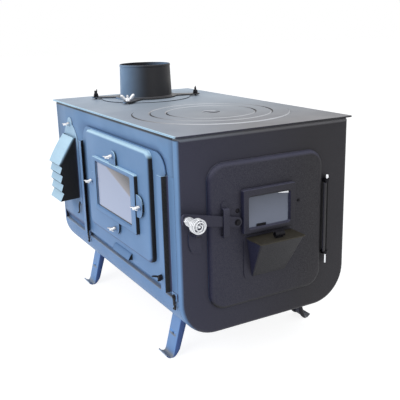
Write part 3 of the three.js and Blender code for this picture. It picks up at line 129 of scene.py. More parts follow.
class StoveColours(bpy.types.PropertyGroup):
    """Colours of the stove's finishes."""

    # Painted reflection: the sky's blue painted onto the left-facing paint, upper and lower
    side_reflection_high: colour("Side, upper", 112, 148, 190, "Side paint near the top")
    side_reflection_low: colour("Side, lower", 108, 145, 192, "Side paint near the tub")
    # Painted shade on the left-facing paint where it faces down
    side_fold_shade: colour("Side, folded under", 73, 98, 143, "Side paint where it faces down")
    # Painted shade, dark blue, on left-facing edges at the front and on the top
    navy_shade: colour("Navy", 22, 24, 54, "Left-facing edges at the front and on the top")
    # Painted shade on front-facing edges out from the left wall: near black, paler at their foot
    edge: colour("Raised edge", 8, 5, 12, "Front-facing edges out from the left wall")
    edge_soft_shade: colour("Raised edge, foot", 84, 84, 116, "Front-facing edges next to the left wall")
    glint: colour("Glint", 198, 234, 255, "Upper edges out from the left wall")
    # A painted blue sheen on the front paint beside the left edge, fading into the paint's charcoal beside
    # the hinge
    front_left_sheen: colour("Front, left", 46, 46, 64, "Front paint beside the left edge")
    front_right: colour("Front, right", 37, 35, 40, "Front paint beside the hinge")
    # Painted light on the top paint: a lit grey, paler and bluer towards the rear and the left
    top_front_lit: colour("Top, front", 129, 128, 131, "Top paint near the door")
    top_rear_lit: colour("Top, rear", 168, 184, 200, "Top paint near the flue")
    top_left_lit: colour("Top, left", 150, 162, 180, "Top paint near the left edge")
    dark: colour("Dark", 34, 33, 38, "Paint on the faces turned away")
    collar: colour("Collar", 40, 40, 43, "Flue collar and flange")
    collar_lit: colour("Collar, lit", 150, 184, 222, "Lit side of the flue collar")
    # Painted light on the upper edges, and painted shade on the lower and right edges, of the fittings on the
    # front
    front_upper_lit: colour("Front, upward", 66, 66, 84, "Upper edges of the fittings on the front")
    ink: colour("Ink", 18, 17, 20, "Lower and right edges of the fittings on the front")
    # Painted shade and a painted highlight on the cooking rings' chamfered edges
    ring_groove_shade: colour("Ring groove", 12, 12, 20, "Edges of the rings that face away")
    navy_deep: colour("Deep navy", 7, 7, 13, "Strip of shade under the top plate")
    ring_edge_highlight: colour("Ring edge", 205, 207, 212, "Front-facing edges of the rings")
    # Painted light on the legs: a painted blue reflection on their left sides and painted shade on their
    # front sides
    leg_side_sheen: colour("Leg, side", 116, 168, 236, "Left-facing sides of the legs")
    leg_front_shade: colour("Leg, front", 66, 94, 152, "Front-facing sides of the legs")
    zinc: colour("Zinc", 226, 228, 232, "Bright plated fasteners")
    black: colour("Black steel", 26, 25, 30, "Blackened fittings")
    iron: colour("Cast iron", 48, 46, 46, "Grate and baffle")
    rope: colour("Rope", 150, 146, 136, "Door seal")
    door_pane: colour("Door pane", 84, 89, 102, "Glass of the fire door")
    # The side pane's pale colour is a painted reflection
    side_pane: colour("Side pane", 150, 163, 194, "Glass of the side panel")
    floor: colour("Floor", 246, 246, 246, "Studio floor")


def in_mm(group):
    """The group's sizes as plain numbers: lengths in millimetres, counts as they are."""
    names = group.__annotations__
    values = {name: getattr(group, name) for name in names}
    return SimpleNamespace(**{n: v if isinstance(v, int) else v / MM for n, v in values.items()})


# ---------- Where a piece stands ----------


def upright(points):
    """Points drawn as (x, y, z) stay as they are."""
    return points


def on_front(points):
    """Points drawn as (across, up, out of the front face)."""
    return np.stack([points[..., 0], -points[..., 2], points[..., 1]], -1)


def on_left(points):
    """Points drawn as (towards the front from the panel's middle, up, out of the left wall)."""
    return np.stack([-200 - points[..., 2], PANEL_MIDDLE - points[..., 0], points[..., 1]], -1)


def over_front(points):
    """Points drawn as (across, out of the front face, up)."""
    return points * np.array([1, -1, 1])


def stood_across(shape):
    """A shape drawn as (out, up, across), with its axes in the order across, up, out."""
    points, faces = shape
    return points[..., ::-1], faces


def stood_along(shape):
    """A shape drawn as (across, up, along), with its last two axes exchanged."""
    points, faces = shape
    return points[..., [0, 2, 1]], faces


def at(place, x=0.0, y=0.0, z=0.0, turn=0.0):
    """A placing that turns a drawing about its own third axis, moves it, and then stands it in place."""

    def placed(points):
        c, s = math.cos(turn), math.sin(turn)
        across, up, out = points[..., 0], points[..., 1], points[..., 2]
        return place(np.stack([c * across - s * up, s * across + c * up, out], -1) + np.array([x, y, z]))

    return placed


# ---------- Surfaces ----------


def grid(points, wrap_rows=False, wrap_columns=True, caps=True):
    """A surface over a grid of points: quads between neighbours, and a flat cap on each open end."""
    rows, columns = points.shape[:2]
    r = np.arange(rows if wrap_rows else rows - 1)
    c = np.arange(columns if wrap_columns else columns - 1)
    r, c = (a.ravel() for a in np.meshgrid(r, c, indexing="ij"))
    r2, c2 = (r + 1) % rows, (c + 1) % columns
    quads = np.stack([r * columns + c, r * columns + c2, r2 * columns + c2, r2 * columns + c], -1)
    faces = quads.tolist()
    if caps and not wrap_rows and wrap_columns:
        faces.append(list(range(columns))[::-1])
        faces.append(list(range((rows - 1) * columns, rows * columns)))
    return points.reshape(-1, 3), faces


def open_grid(points, left_out):
    """A sheet over a grid of points with open edges, without the cells at some (row, column) places."""
    flat, faces = grid(points, wrap_columns=False, caps=False)
    columns = points.shape[1]
    return flat, [f for f in faces if (f[0] // columns, f[0] % columns) not in left_out]


def corner_ring(x0, x1, y0, y1, radii, inset, z, steps=12):
    """One ring round a rectangle with round corners, drawn in by an inset: each corner is a quarter circle
    about a centre that stays put while its radius shrinks, down to a small least radius."""
    low, high = (max(r - inset, 0.4) for r in radii)
    left, right, bottom, top = x0 + inset, x1 - inset, y0 + inset, y1 - inset
    starts = [(right - low, bottom + low, low, -90), (right - high, top - high, high, 0),
              (left + high, top - high, high, 90), (left + low, bottom + low, low, 180)]
    parts = []
    for cx, cy, radius, start in starts:
        angle = np.radians(start + np.linspace(0, 90, steps + 1))
        parts.append(np.stack([cx + radius * np.cos(angle), cy + radius * np.sin(angle),
                               np.full(steps + 1, float(z))], -1))
    return np.concatenate(parts)


def rectangle(x0, x1, y0, y1):
    """The corners of a rectangle, as an outline."""
    return [(x0, y0), (x1, y0), (x1, y1), (x0, y1)]


def around(centre, width, height):
    """The four sides of a rectangle about a centre."""
    return centre[0] - width / 2, centre[0] + width / 2, centre[1] - height / 2, centre[1] + height / 2


def rolled(inset, top, radius, steps=8):
    """A quarter circle in section, from the skirt's top to the face's edge, as (inset, height) pairs."""
    angle = np.radians(np.linspace(0, 90, steps + 1))
    return np.stack([inset + radius * (1 - np.cos(angle)), top - radius * (1 - np.sin(angle))], -1)


def pressed_pan(sides, radii, back, face, edge, sheet, margin=None, hole=None):
    """A pressed pan of sheet: rings run up the inside, over the rim, up the outside and across the face.
    With a hole the face ends at the hole's ring, and the surface closes on itself through it."""
    inside = rolled(sheet, face - sheet, edge - sheet)[::-1]
    rings = [corner_ring(*sides, radii, i, z) for i, z in inside]
    rings.append(corner_ring(*sides, radii, sheet, back))
    if margin:
        margin_sides, margin_radii = margin
        rings += [corner_ring(*margin_sides, margin_radii, 0, back),
                  corner_ring(*margin_sides, margin_radii, 0, back + sheet)]
        rings.append(corner_ring(*sides, radii, 0, back + sheet))
    else:
        rings.append(corner_ring(*sides, radii, 0, back))
    rings += [corner_ring(*sides, radii, i, z) for i, z in rolled(0, face, edge)]
    if hole:
        hole_sides, hole_radius = hole
        ring = corner_ring(*hole_sides, (hole_radius, hole_radius), 0, face)
        rings += [ring, ring - np.array([0, 0, sheet])]
    return grid(np.array(rings), wrap_rows=bool(hole))


def turned(profile, steps=128, closed=False):
    """A profile of (radius, height) pairs spun about the third axis."""
    profile = np.array(profile, float)
    angle = np.linspace(0, 2 * math.pi, steps, endpoint=False)
    points = np.stack([
        profile[:, :1] * np.cos(angle), profile[:, :1] * np.sin(angle),
        np.repeat(profile[:, 1:], steps, 1)], -1)
    return grid(points, wrap_rows=closed, caps=False)


def slab(outline, low, high, holes=()):
    """A flat plate between two heights, with holes: both faces are cut into triangles, the rims are quads."""
    loops = [np.array(loop, float) for loop in (outline, *holes)]
    flat = [[Vector((x, y, 0)) for x, y in loop] for loop in loops]
    triangles = [list(t) for t in tessellate_polygon(flat)]
    plan = np.concatenate(loops)
    count = len(plan)
    points = np.concatenate([np.column_stack([plan, np.full(count, float(z))]) for z in (low, high)])
    faces = triangles + [[i + count for i in t] for t in triangles]
    start = 0
    for loop in loops:
        i = np.arange(len(loop))
        j = (i + 1) % len(loop)
        faces += np.stack([start + i, start + j, start + j + count, start + i + count], -1).tolist()
        start += len(loop)
    return points, faces


def bar(section, low, high):
    """A section of (x, y) pairs carried along the third axis."""
    section = np.array(section, float)
    ends = [np.column_stack([section, np.full(len(section), float(z))]) for z in (low, high)]
    return grid(np.array(ends))


def arc(cx, cy, radius, start, end, steps=16):
    """Points on a circle between two angles in degrees."""
    angle = np.radians(np.linspace(start, end, steps + 1))
    return np.column_stack([cx + radius * np.cos(angle), cy + radius * np.sin(angle)])


def curve(*controls, steps=12):
    """Points on a quadratic curve through its ends, pulled towards its middle control."""
    a, b, c = (np.array(p, float) for p in controls)
    t = np.linspace(0, 1, steps + 1)[:, None]
    return (1 - t) ** 2 * a + 2 * t * (1 - t) * b + t**2 * c


def tube(path, radius, axis, sides=12, closed=False, lobes=0, twist=0.0):
    """A round tube along a path: each ring lies across the path's direction. Lobes that turn as they go
    make a laid rope: radius times 1 + 0.12 cos(lobes a + twist s)."""
    path = np.array(path, float)
    along = np.roll(path, -1, 0) - np.roll(path, 1, 0) if closed else np.gradient(path, axis=0)
    along /= np.linalg.norm(along, axis=1)[:, None]
    out = np.cross(along, np.array(axis, float))
    out /= np.linalg.norm(out, axis=1)[:, None]
    up = np.cross(out, along)
    angle = np.linspace(0, 2 * math.pi, sides, endpoint=False)[None, :, None]
    step = np.arange(len(path))[:, None, None]
    reach = np.broadcast_to(np.reshape(radius, (-1, 1, 1)), (len(path), 1, 1))
    reach = reach * (1 + 0.12 * np.cos(lobes * angle + twist * step)) if lobes else reach
    points = path[:, None] + reach * (np.cos(angle) * out[:, None] + np.sin(angle) * up[:, None])
    return grid(points, wrap_rows=closed)


def circle(cx, cy, radius, steps=64):
    """A closed circle of points, without its end repeated."""
    return arc(cx, cy, radius, 0, 360, steps)[:-1]


def strap(line, thickness):
    """The section of a bent strap: a line of (x, y) points, and the same line moved to one side."""
    line = np.array(line, float)
    along = np.gradient(line, axis=0)
    along /= np.linalg.norm(along, axis=1)[:, None]
    side = np.column_stack([-along[:, 1], along[:, 0]])
    return np.concatenate([line, (line + side * thickness)[::-1]])


# ---------- Making the pieces ----------


def make_piece(name, body, slot, finish, place, shells, replaces=(), bevel=0.0, sharp=32.0):
    """Turns shells of points and faces into one object that rides on a body and stands for its CAD nodes."""
    points, faces, start = [], [], 0
    for shell_points, shell_faces in shells:
        points.append(place(np.asarray(shell_points, float)))
        faces += [[i + start for i in face] for face in shell_faces]
        start += len(shell_points)
    mesh = bpy.data.meshes.new(name)
    mesh.from_pydata((np.concatenate(points) * MM + ORIGIN).tolist(), [], faces)
    work = bmesh.new()
    work.from_mesh(mesh)
    bmesh.ops.remove_doubles(work, verts=work.verts, dist=2e-6)
    bmesh.ops.dissolve_degenerate(work, edges=work.edges, dist=1e-6)
    bmesh.ops.recalc_face_normals(work, faces=work.faces)
    work.to_mesh(mesh)
    work.free()
    mesh.shade_smooth()
    mesh.materials.append(FINISHES[finish])
    piece = bpy.data.objects.new(name, mesh)
    bpy.context.scene.collection.objects.link(piece)
    if bevel:
        rounding = piece.modifiers.new("Edges", "BEVEL")
        rounding.width = bevel * MM
        rounding.segments = 2
        rounding.limit_method = "ANGLE"
        rounding.angle_limit = math.radians(sharp)
        rounding.harden_normals = True
    else:
        mesh.set_sharp_from_angle(angle=math.radians(sharp))
    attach(piece, body)
    if replaces:
        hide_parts(*replaces)
    return piece


def make_sheet(name, slot, side, shell, thickness, replaces):
    """Makes a piece of the body from an open surface: its faces are turned to look away from the middle
    plane, and it is then thickened inwards."""
    piece = make_piece(name, "stove", slot, "paint", upright, [shell], replaces=replaces)
    mesh = piece.data
    total = sum(face.normal.x * face.area for face in mesh.polygons)
    if total * side < 0:
        mesh.flip_normals()
    sheet = piece.modifiers.new("Sheet", "SOLIDIFY")
    sheet.thickness = thickness * MM
    sheet.offset = -1


# ---------- Finishes ----------


class Shade:
    """A shader socket. Python's operators on it add Math nodes."""

    def __init__(self, finish, socket):
        self.finish = finish
        self.socket = socket

    def _with(self, operation, *values):
        inputs = dict(enumerate(values))
        return self.finish.node("ShaderNodeMath", {"operation": operation}, inputs)

    def __add__(self, other):
        return self._with("ADD", self, other)

    def __sub__(self, other):
        return self._with("SUBTRACT", self, other)

    def __rsub__(self, other):
        return self._with("SUBTRACT", other, self)

    def __mul__(self, other):
        return self._with("MULTIPLY", self, other)

    def __pow__(self, other):
        return self._with("POWER", self, other)

    def at_least(self, other):
        return self._with("MAXIMUM", self, other)


class Nodes:
    """A node tree, with short ways to add nodes to it and to link them."""

    def __init__(self, tree):
        self.tree = tree

    def node(self, kind, settings=None, inputs=None, output=0):
        """Adds a node, sets it, fills its sockets with values or links, and gives one of its outputs."""
        node = self.tree.nodes.new(kind)
        for key, value in (settings or {}).items():
            setattr(node, key, value)
        for key, value in (inputs or {}).items():
            self.link(value, node.inputs[key])
        return Shade(self, node.outputs[output])

    def link(self, value, socket):
        if isinstance(value, Shade):
            self.tree.links.new(value.socket, socket)
        else:
            socket.default_value = value

    def split(self, output):
        """The object's own "Object" place in metres or "Normal" direction, as three separate values."""
        vector = self.node("ShaderNodeTexCoord", output=output)
        parts = self.node("ShaderNodeSeparateXYZ", inputs={0: vector})
        return [Shade(self, out) for out in parts.socket.node.outputs]


class Finish(Nodes):
    """A material with a Principled shader, and short ways to add the nodes that finishes share."""

    def __init__(self, name, **constants):
        self.material = bpy.data.materials.new(name)
        self.material.use_nodes = True
        super().__init__(self.material.node_tree)
        self.shader = self.tree.nodes["Principled BSDF"]
        for key, value in constants.items():
            self.shader.inputs[key.replace("_", " ")].default_value = value

    def set(self, key, value):
        self.link(value, self.shader.inputs[key])

    def noise(self, scale, detail=2.0, roughness=0.5, stretch=None):
        spot = self.node("ShaderNodeTexCoord", output="Object")
        if stretch:
            spot = self.node("ShaderNodeMapping", inputs={"Vector": spot, "Scale": stretch})
        return self.node("ShaderNodeTexNoise", inputs={
            "Vector": spot, "Scale": scale, "Detail": detail, "Roughness": roughness}, output="Fac")

    def ramp(self, value, low, high, out_low=0.0, out_high=1.0):
        """A value carried from one range to another and held at its ends."""
        return self.node("ShaderNodeMapRange", inputs={
            "Value": value, "From Min": low, "From Max": high, "To Min": out_low, "To Max": out_high})

    def distance(self, value, mark):
        """How far a value is from a mark, either way."""
        return (value - mark).at_least(mark - value)

    def blend(self, share, first, second):
        """Two colours mixed by a share. A colour is a shade, or three or four plain numbers."""
        first, second = (c if isinstance(c, Shade) else (*tuple(c)[:3], 1.0) for c in (first, second))
        return self.node("ShaderNodeMix", {"data_type": "RGBA"}, {0: share, 6: first, 7: second}, output=2)

    def bump(self, height, strength, distance):
        self.set("Normal", self.node("ShaderNodeBump", inputs={
            "Height": height, "Strength": strength, "Distance": distance}))


def heat_paint_with_painted_light(name, colours):
    """Satin heat-proof paint with light and shade painted into its colour by the way each face is turned: a
    painted blue reflection of the sky on the left, a painted lit grey on top and charcoal at the front with a
    painted blue sheen towards the left, with painted light drifting in tone along each, fine mottling and an
    orange-peel bump.
    What stands out of the left wall gets a painted highlight on top and painted shade, near black, towards
    the front, and left faces that lie before the front or on the top get dark blue painted shade."""
    paint = Finish(name, Metallic=0.1, Specular_IOR_Level=0.15)
    x, y, z = paint.split("Object")
    nx, ny, nz = paint.split("Normal")
    cloud = paint.noise(9.0, 3.0)

    # Marks, in metres: the front and left faces, and heights at the top plate
    front_face, wall = float(_low.y), -0.177
    plate_foot, plate_rim, deck = 0.483, 0.4861, 0.4889

    # Zones: one inside, and nothing outside
    left = paint.ramp(x, 0.0, -0.02)
    left_edge = paint.ramp(x, -0.17, -0.175)
    below = paint.ramp(z, plate_foot, plate_foot - 0.002)
    under_deck = paint.ramp(z, deck, deck - 0.0004)
    leg = paint.ramp(z, 0.088, 0.086) * left
    behind = paint.ramp(y, front_face - 0.001, front_face) * under_deck * left
    before = paint.ramp(y, front_face - 0.0008, front_face - 0.0012) * below
    proud = paint.ramp(x, wall - 0.0008, wall - 0.0012) * below
    rings = paint.ramp(z, deck, deck + 0.0002) * paint.ramp(y, 0.09, 0.085)
    rim = paint.ramp(z, plate_rim - 0.0003, plate_rim) * left_edge * under_deck
    shade = paint.ramp(z, 0.4785, 0.4805) * paint.ramp(z, plate_rim, plate_rim - 0.0003) * left_edge

    # Parts of the hood that get a painted highlight: its slats, the arch of its plate, and a band along the
    # front cheek under its roof, painted where the roof would round over
    hood_start = paint.ramp(y, 0.2, 0.205)
    slats = paint.ramp(x, wall - 0.03, wall - 0.035)
    arch = paint.ramp(x, wall - 0.0012, wall - 0.002) * paint.ramp(z, 0.375, 0.41) * hood_start
    roof_slope, roof_top, roof_start, cheek = 1.571, 0.409, 0.009, 0.2262
    under_roof = roof_top - (wall - x - roof_start) * roof_slope - z
    bend = proud * paint.ramp(under_roof, 0.011, -0.002) ** 2.0 * paint.ramp(z, 0.34, 0.35)
    bend = bend * paint.ramp(paint.distance(y, cheek), 0.003, 0.0025)

    # The side panel's flat margin, above its rails: every face of it takes the side's painted reflection,
    # without the painted shade and highlight of edges
    plain = proud * paint.ramp(x, wall - 0.0058, wall - 0.005) * paint.ramp(z, 0.412, 0.414)
    plain = plain * paint.ramp(y, 0.2, 0.19)

    # Left-facing faces get a painted blue reflection of the sky, a little paler up the side
    side = paint.blend(paint.ramp(z, 0.17, 0.47), colours.side_reflection_low, colours.side_reflection_high)
    # A painted highlight on the hood's slats and on the arch of its plate
    side = paint.blend(arch.at_least(slats) * 0.6, side, colours.glint)
    # Painted blue reflection on the legs' left sides
    side = paint.blend(leg, side, colours.leg_side_sheen)
    # Painted shade on faces that look down, under the wall's step above the tub's lip
    fold_shade = paint.ramp(nz * -1, 0.05, 0.4) * paint.ramp(z, 0.166, 0.17)
    side = paint.blend(fold_shade, side, colours.side_fold_shade)
    # Dark blue painted shade on left faces that lie before the front or on the top
    side = paint.blend(behind, colours.navy_shade, side)
    side = paint.blend(shade, side, colours.navy_deep)
    # A painted highlight on the top plate's left rim
    side = paint.blend(rim * 0.6, side, colours.glint)

    # Front-facing faces: charcoal paint, with a painted blue sheen towards the left
    front = paint.blend(paint.ramp(x, -0.17, 0.12), colours.front_left_sheen, colours.front_right)
    # Painted shade on front-facing faces that stand out of the left wall: near black far out, paler near the
    # wall
    edge = paint.blend(paint.ramp(x, wall - 0.006, wall - 0.0005), colours.edge, colours.edge_soft_shade)
    front = paint.blend(proud, front, edge)
    # A painted highlight on the front cheek just under the hood's roof
    front = paint.blend(bend, front, colours.glint)
    # Painted shade on the legs' front sides
    front = paint.blend(leg, front, colours.leg_front_shade)

    # Upward faces: a painted lit grey, paler and bluer towards the rear and the left
    top = paint.blend(paint.ramp(y, -0.3, 0.35), colours.top_front_lit, colours.top_rear_lit)
    top = paint.blend(paint.ramp(x, 0.0, -0.18, 0.0, 0.6), top, colours.top_left_lit)
    # Upward faces that stand out of the left wall get a painted highlight, held back on the side window's
    # sill and low down
    sill = paint.ramp(paint.distance(z, 0.282), 0.006, 0.0055) * paint.ramp(y, 0.065, 0.06)
    highlight_withheld = sill.at_least(paint.ramp(z, 0.212, 0.21))
    glint = paint.blend(highlight_withheld, colours.glint, side)
    top = paint.blend(paint.ramp(x, wall - 0.001, wall - 0.002), top, glint)
    # Painted light on the upward faces of the fittings on the front
    top = paint.blend(before, top, colours.front_upper_lit)

    # The faces' directions choose between the painted lit and shaded tints: away first, then front, side and
    # top
    # The legs' faces turned away get the same painted shade
    away = paint.blend(leg, colours.dark, colours.leg_front_shade)
    base = paint.blend(paint.ramp(ny * -1, 0.0, 0.9), away, front)
    base = paint.blend(paint.ramp(nx * -1, 0.4, 0.85), base, side)
    base = paint.blend(paint.ramp(nz, 0.1, 0.6), base, top)
    # Painted shade on the faces of the fittings on the front that look down or to the right
    under = paint.ramp(nz * -1, 0.15, 0.6).at_least(paint.ramp(nx, 0.3, 0.9)) * before
    base = paint.blend(under, base, colours.ink)
    # The panel's margin above the rails takes the side's painted reflection
    base = paint.blend(plain, base, side)
    # The rings' chamfers get a painted highlight where they face the front and painted shade where they face
    # away
    ring_shade_and_highlight = paint.blend(paint.ramp(ny * -1, -0.1, 0.5), colours.ring_groove_shade, colours.ring_edge_highlight)
    base = paint.blend(rings * paint.ramp(nz, 0.98, 0.92), base, ring_shade_and_highlight)
    base = paint.blend(paint.ramp(cloud, 0.3, 0.7, 0.0, 0.08), base, colours.dark)
    grain = paint.noise(1400.0, 1.0)
    base = paint.blend(paint.ramp(grain, 0.3, 0.7, 0.0, 0.04), base, (1.0, 1.0, 1.0))
    paint.set("Base Color", base)
    paint.set("Roughness", paint.ramp(cloud, 0.3, 0.7, 0.42, 0.55))
    paint.bump(grain, 0.25, 0.0002)
    return paint.material


def brighter(shade, factor, lift=0.0):
    """A colour times a factor, plus a lift, held at one."""
    return tuple(min(1.0, c * factor + lift) for c in shade)


def collar_paint_with_painted_light(name, colours):
    """Dark satin paint for the flue: near black, with a painted blue reflection of the sky on its lit side at
    the left and a painted lit grey on faces that look up.
    """
    paint = Finish(name, Metallic=0.1, Specular_IOR_Level=0.3)
    nx, ny, nz = paint.split("Normal")
    cloud = paint.noise(30.0, 3.0)
    # A painted blue reflection of the sky on the lit side, at the left
    painted_light_tint = paint.ramp(nx * -1 + ny * 0.35, -0.1, 1.15) ** 2.2
    base = paint.blend(painted_light_tint, colours.collar, colours.collar_lit)
    # A painted lit grey on faces that look up
    base = paint.blend(paint.ramp(nz, 0.3, 0.9, 0.0, 0.5), base, colours.top_front_lit)
    paint.set("Base Color", paint.blend(paint.ramp(cloud, 0.3, 0.7, 0.0, 0.12), base, colours.dark))
    paint.set("Roughness", paint.ramp(cloud, 0.3, 0.7, 0.38, 0.5))
    paint.bump(paint.noise(1400.0, 1.0), 0.2, 0.0002)
    return paint.material


def plated(name, shade):
    """Bright plated steel with fine scratches and slightly dulled patches."""
    metal = Finish(name, Metallic=1.0)
    scratch = metal.noise(900.0, 2.0, 0.6, (1.0, 1.0, 6.0))
    patch = metal.noise(120.0, 2.0)
    metal.set("Base Color", metal.blend(metal.ramp(patch, 0.35, 0.7), shade, brighter(shade, 0.78)))
    metal.set("Roughness", metal.ramp(patch + scratch * 0.4, 0.5, 1.0, 0.22, 0.38))
    metal.bump(scratch, 0.15, 0.0001)
    return metal.material


def blackened(name, shade, roughness=0.45):
    """Blackened steel: near black, worn a little paler in fine patches."""
    metal = Finish(name, Metallic=0.15, Specular_IOR_Level=0.2)
    wear = metal.noise(260.0, 4.0, 0.65)
    worn = metal.ramp(wear, 0.52, 0.8, 0.0, 0.6)
    metal.set("Base Color", metal.blend(worn, shade, brighter(shade, 2.2, 0.01)))
    metal.set("Roughness", metal.ramp(wear, 0.3, 0.7, roughness, roughness + 0.2))
    metal.bump(wear, 0.2, 0.0002)
    return metal.material


def cast(name, shade):
    """Cast iron: matt and pitted, with rusty touches."""
    iron = Finish(name, Metallic=0.2)
    pits = iron.noise(420.0, 5.0, 0.7)
    rust = iron.noise(40.0, 4.0, 0.6)
    rust_brown = (0.09, 0.035, 0.015)
    iron.set("Base Color", iron.blend(iron.ramp(rust, 0.55, 0.75, 0.0, 0.45), shade, rust_brown))
    iron.set("Roughness", iron.ramp(pits, 0.3, 0.7, 0.7, 0.95))
    iron.bump(pits, 0.5, 0.0006)
    return iron.material


def woven(name, shade):
    """Ceramic rope: pale, matt and fibrous."""
    fibre = Finish(name)
    strands = fibre.noise(800.0, 4.0, 0.7, (1.0, 1.0, 3.0))
    soot = fibre.noise(30.0, 3.0)
    fibre.set("Base Color", fibre.blend(fibre.ramp(soot, 0.4, 0.7), shade, brighter(shade, 0.35)))
    fibre.set("Roughness", fibre.ramp(strands, 0.3, 0.7, 0.85, 1.0))
    fibre.bump(strands, 0.6, 0.0008)
    return fibre.material


def pane_finish(name, haze_scale, painted_light_tint):
    """Stove glass, smooth with a faint haze. Its colour, a painted reflection with painted shade on the side
    pane, comes from a function of the material, the place on the object and the haze."""
    glass = Finish(name, Coat_Weight=0.25, Coat_Roughness=0.04, IOR=1.5, Specular_IOR_Level=0.3)
    haze = glass.noise(haze_scale, 2.0)
    glass.set("Base Color", painted_light_tint(glass, *glass.split("Object")[1:], haze))
    glass.set("Roughness", glass.ramp(haze, 0.3, 0.7, 0.1, 0.2))
    return glass.material


def door_glass_finish(name, shade):
    """The door's pane: grey, with a painted reflection that makes it paler towards its lower edge."""
    bottom, top = 0.308, 0.368

    def painted_light_tint(glass, _, z, haze):
        return glass.blend(glass.ramp(z + haze * 0.02, top, bottom), shade, brighter(shade, 2.1))

    return pane_finish(name, 14.0, painted_light_tint)


def side_glass_finish(name, shade):
    """The side pane: pale with a painted reflection, with painted shade in a dark wedge across its upper
    front corner.
    The wedge is where height outruns a slanting line along the pane. Its lower and rear edges are outlined
    with painted shade."""
    slope, crossing, low, high = 0.315, 0.38835, 0.29, 0.375
    wedge_shade_near, wedge_shade_far, outline = (0.26, 0.245, 0.27), (0.035, 0.037, 0.05), (0.012, 0.014, 0.03)
    bottom, rear = 0.2862, (PANEL_MIDDLE + 93) * MM + float(ORIGIN[1])

    def painted_light_tint(glass, y, z, haze):
        over = z - crossing - y * slope + haze * 0.002
        # Painted shade in the wedge, darker further in
        wedge_shade = glass.blend(glass.ramp(over, 0.002, 0.032), wedge_shade_near, wedge_shade_far)
        # Painted reflection, paler towards the bottom
        base = glass.blend(glass.ramp(z, high, low), shade, brighter(shade, 1.12))
        base = glass.blend(glass.ramp(over, 0.0, 0.004), base, wedge_shade)
        # Lines of painted shade along the pane's lower and rear edges
        line = glass.ramp(z, bottom, bottom - 0.0006).at_least(glass.ramp(y, rear - 0.0028, rear - 0.0022))
        return glass.blend(line, base, outline)

    return pane_finish(name, 12.0, painted_light_tint)


FINISHES = {}


class STOVE_OT_finishes(bpy.types.Operator):
    """Makes the stove's finishes from the colours"""

    bl_idname = "stove.finishes"
    bl_label = "Make finishes"

    def execute(self, context):
        c = context.scene.stove_colours
        FINISHES.update(
            paint=heat_paint_with_painted_light("heat_paint_with_painted_light", c),
            collar=collar_paint_with_painted_light("collar_paint_with_painted_light", c),
            zinc=plated("zinc_plate", c.zinc),
            black=blackened("black_steel", c.black),
            ink=blackened("ink_steel", (0.002, 0.002, 0.003), 0.6),
            iron=cast("cast_iron", c.iron),
            rope=woven("seal_rope", c.rope),
            door_pane=door_glass_finish("door_pane", c.door_pane),
            side_pane=side_glass_finish("side_pane", c.side_pane),
            flap=blackened("air_flap", (0.045, 0.04, 0.03), 0.4),
        )
        return {"FINISHED"}


# ---------- Shell ----------


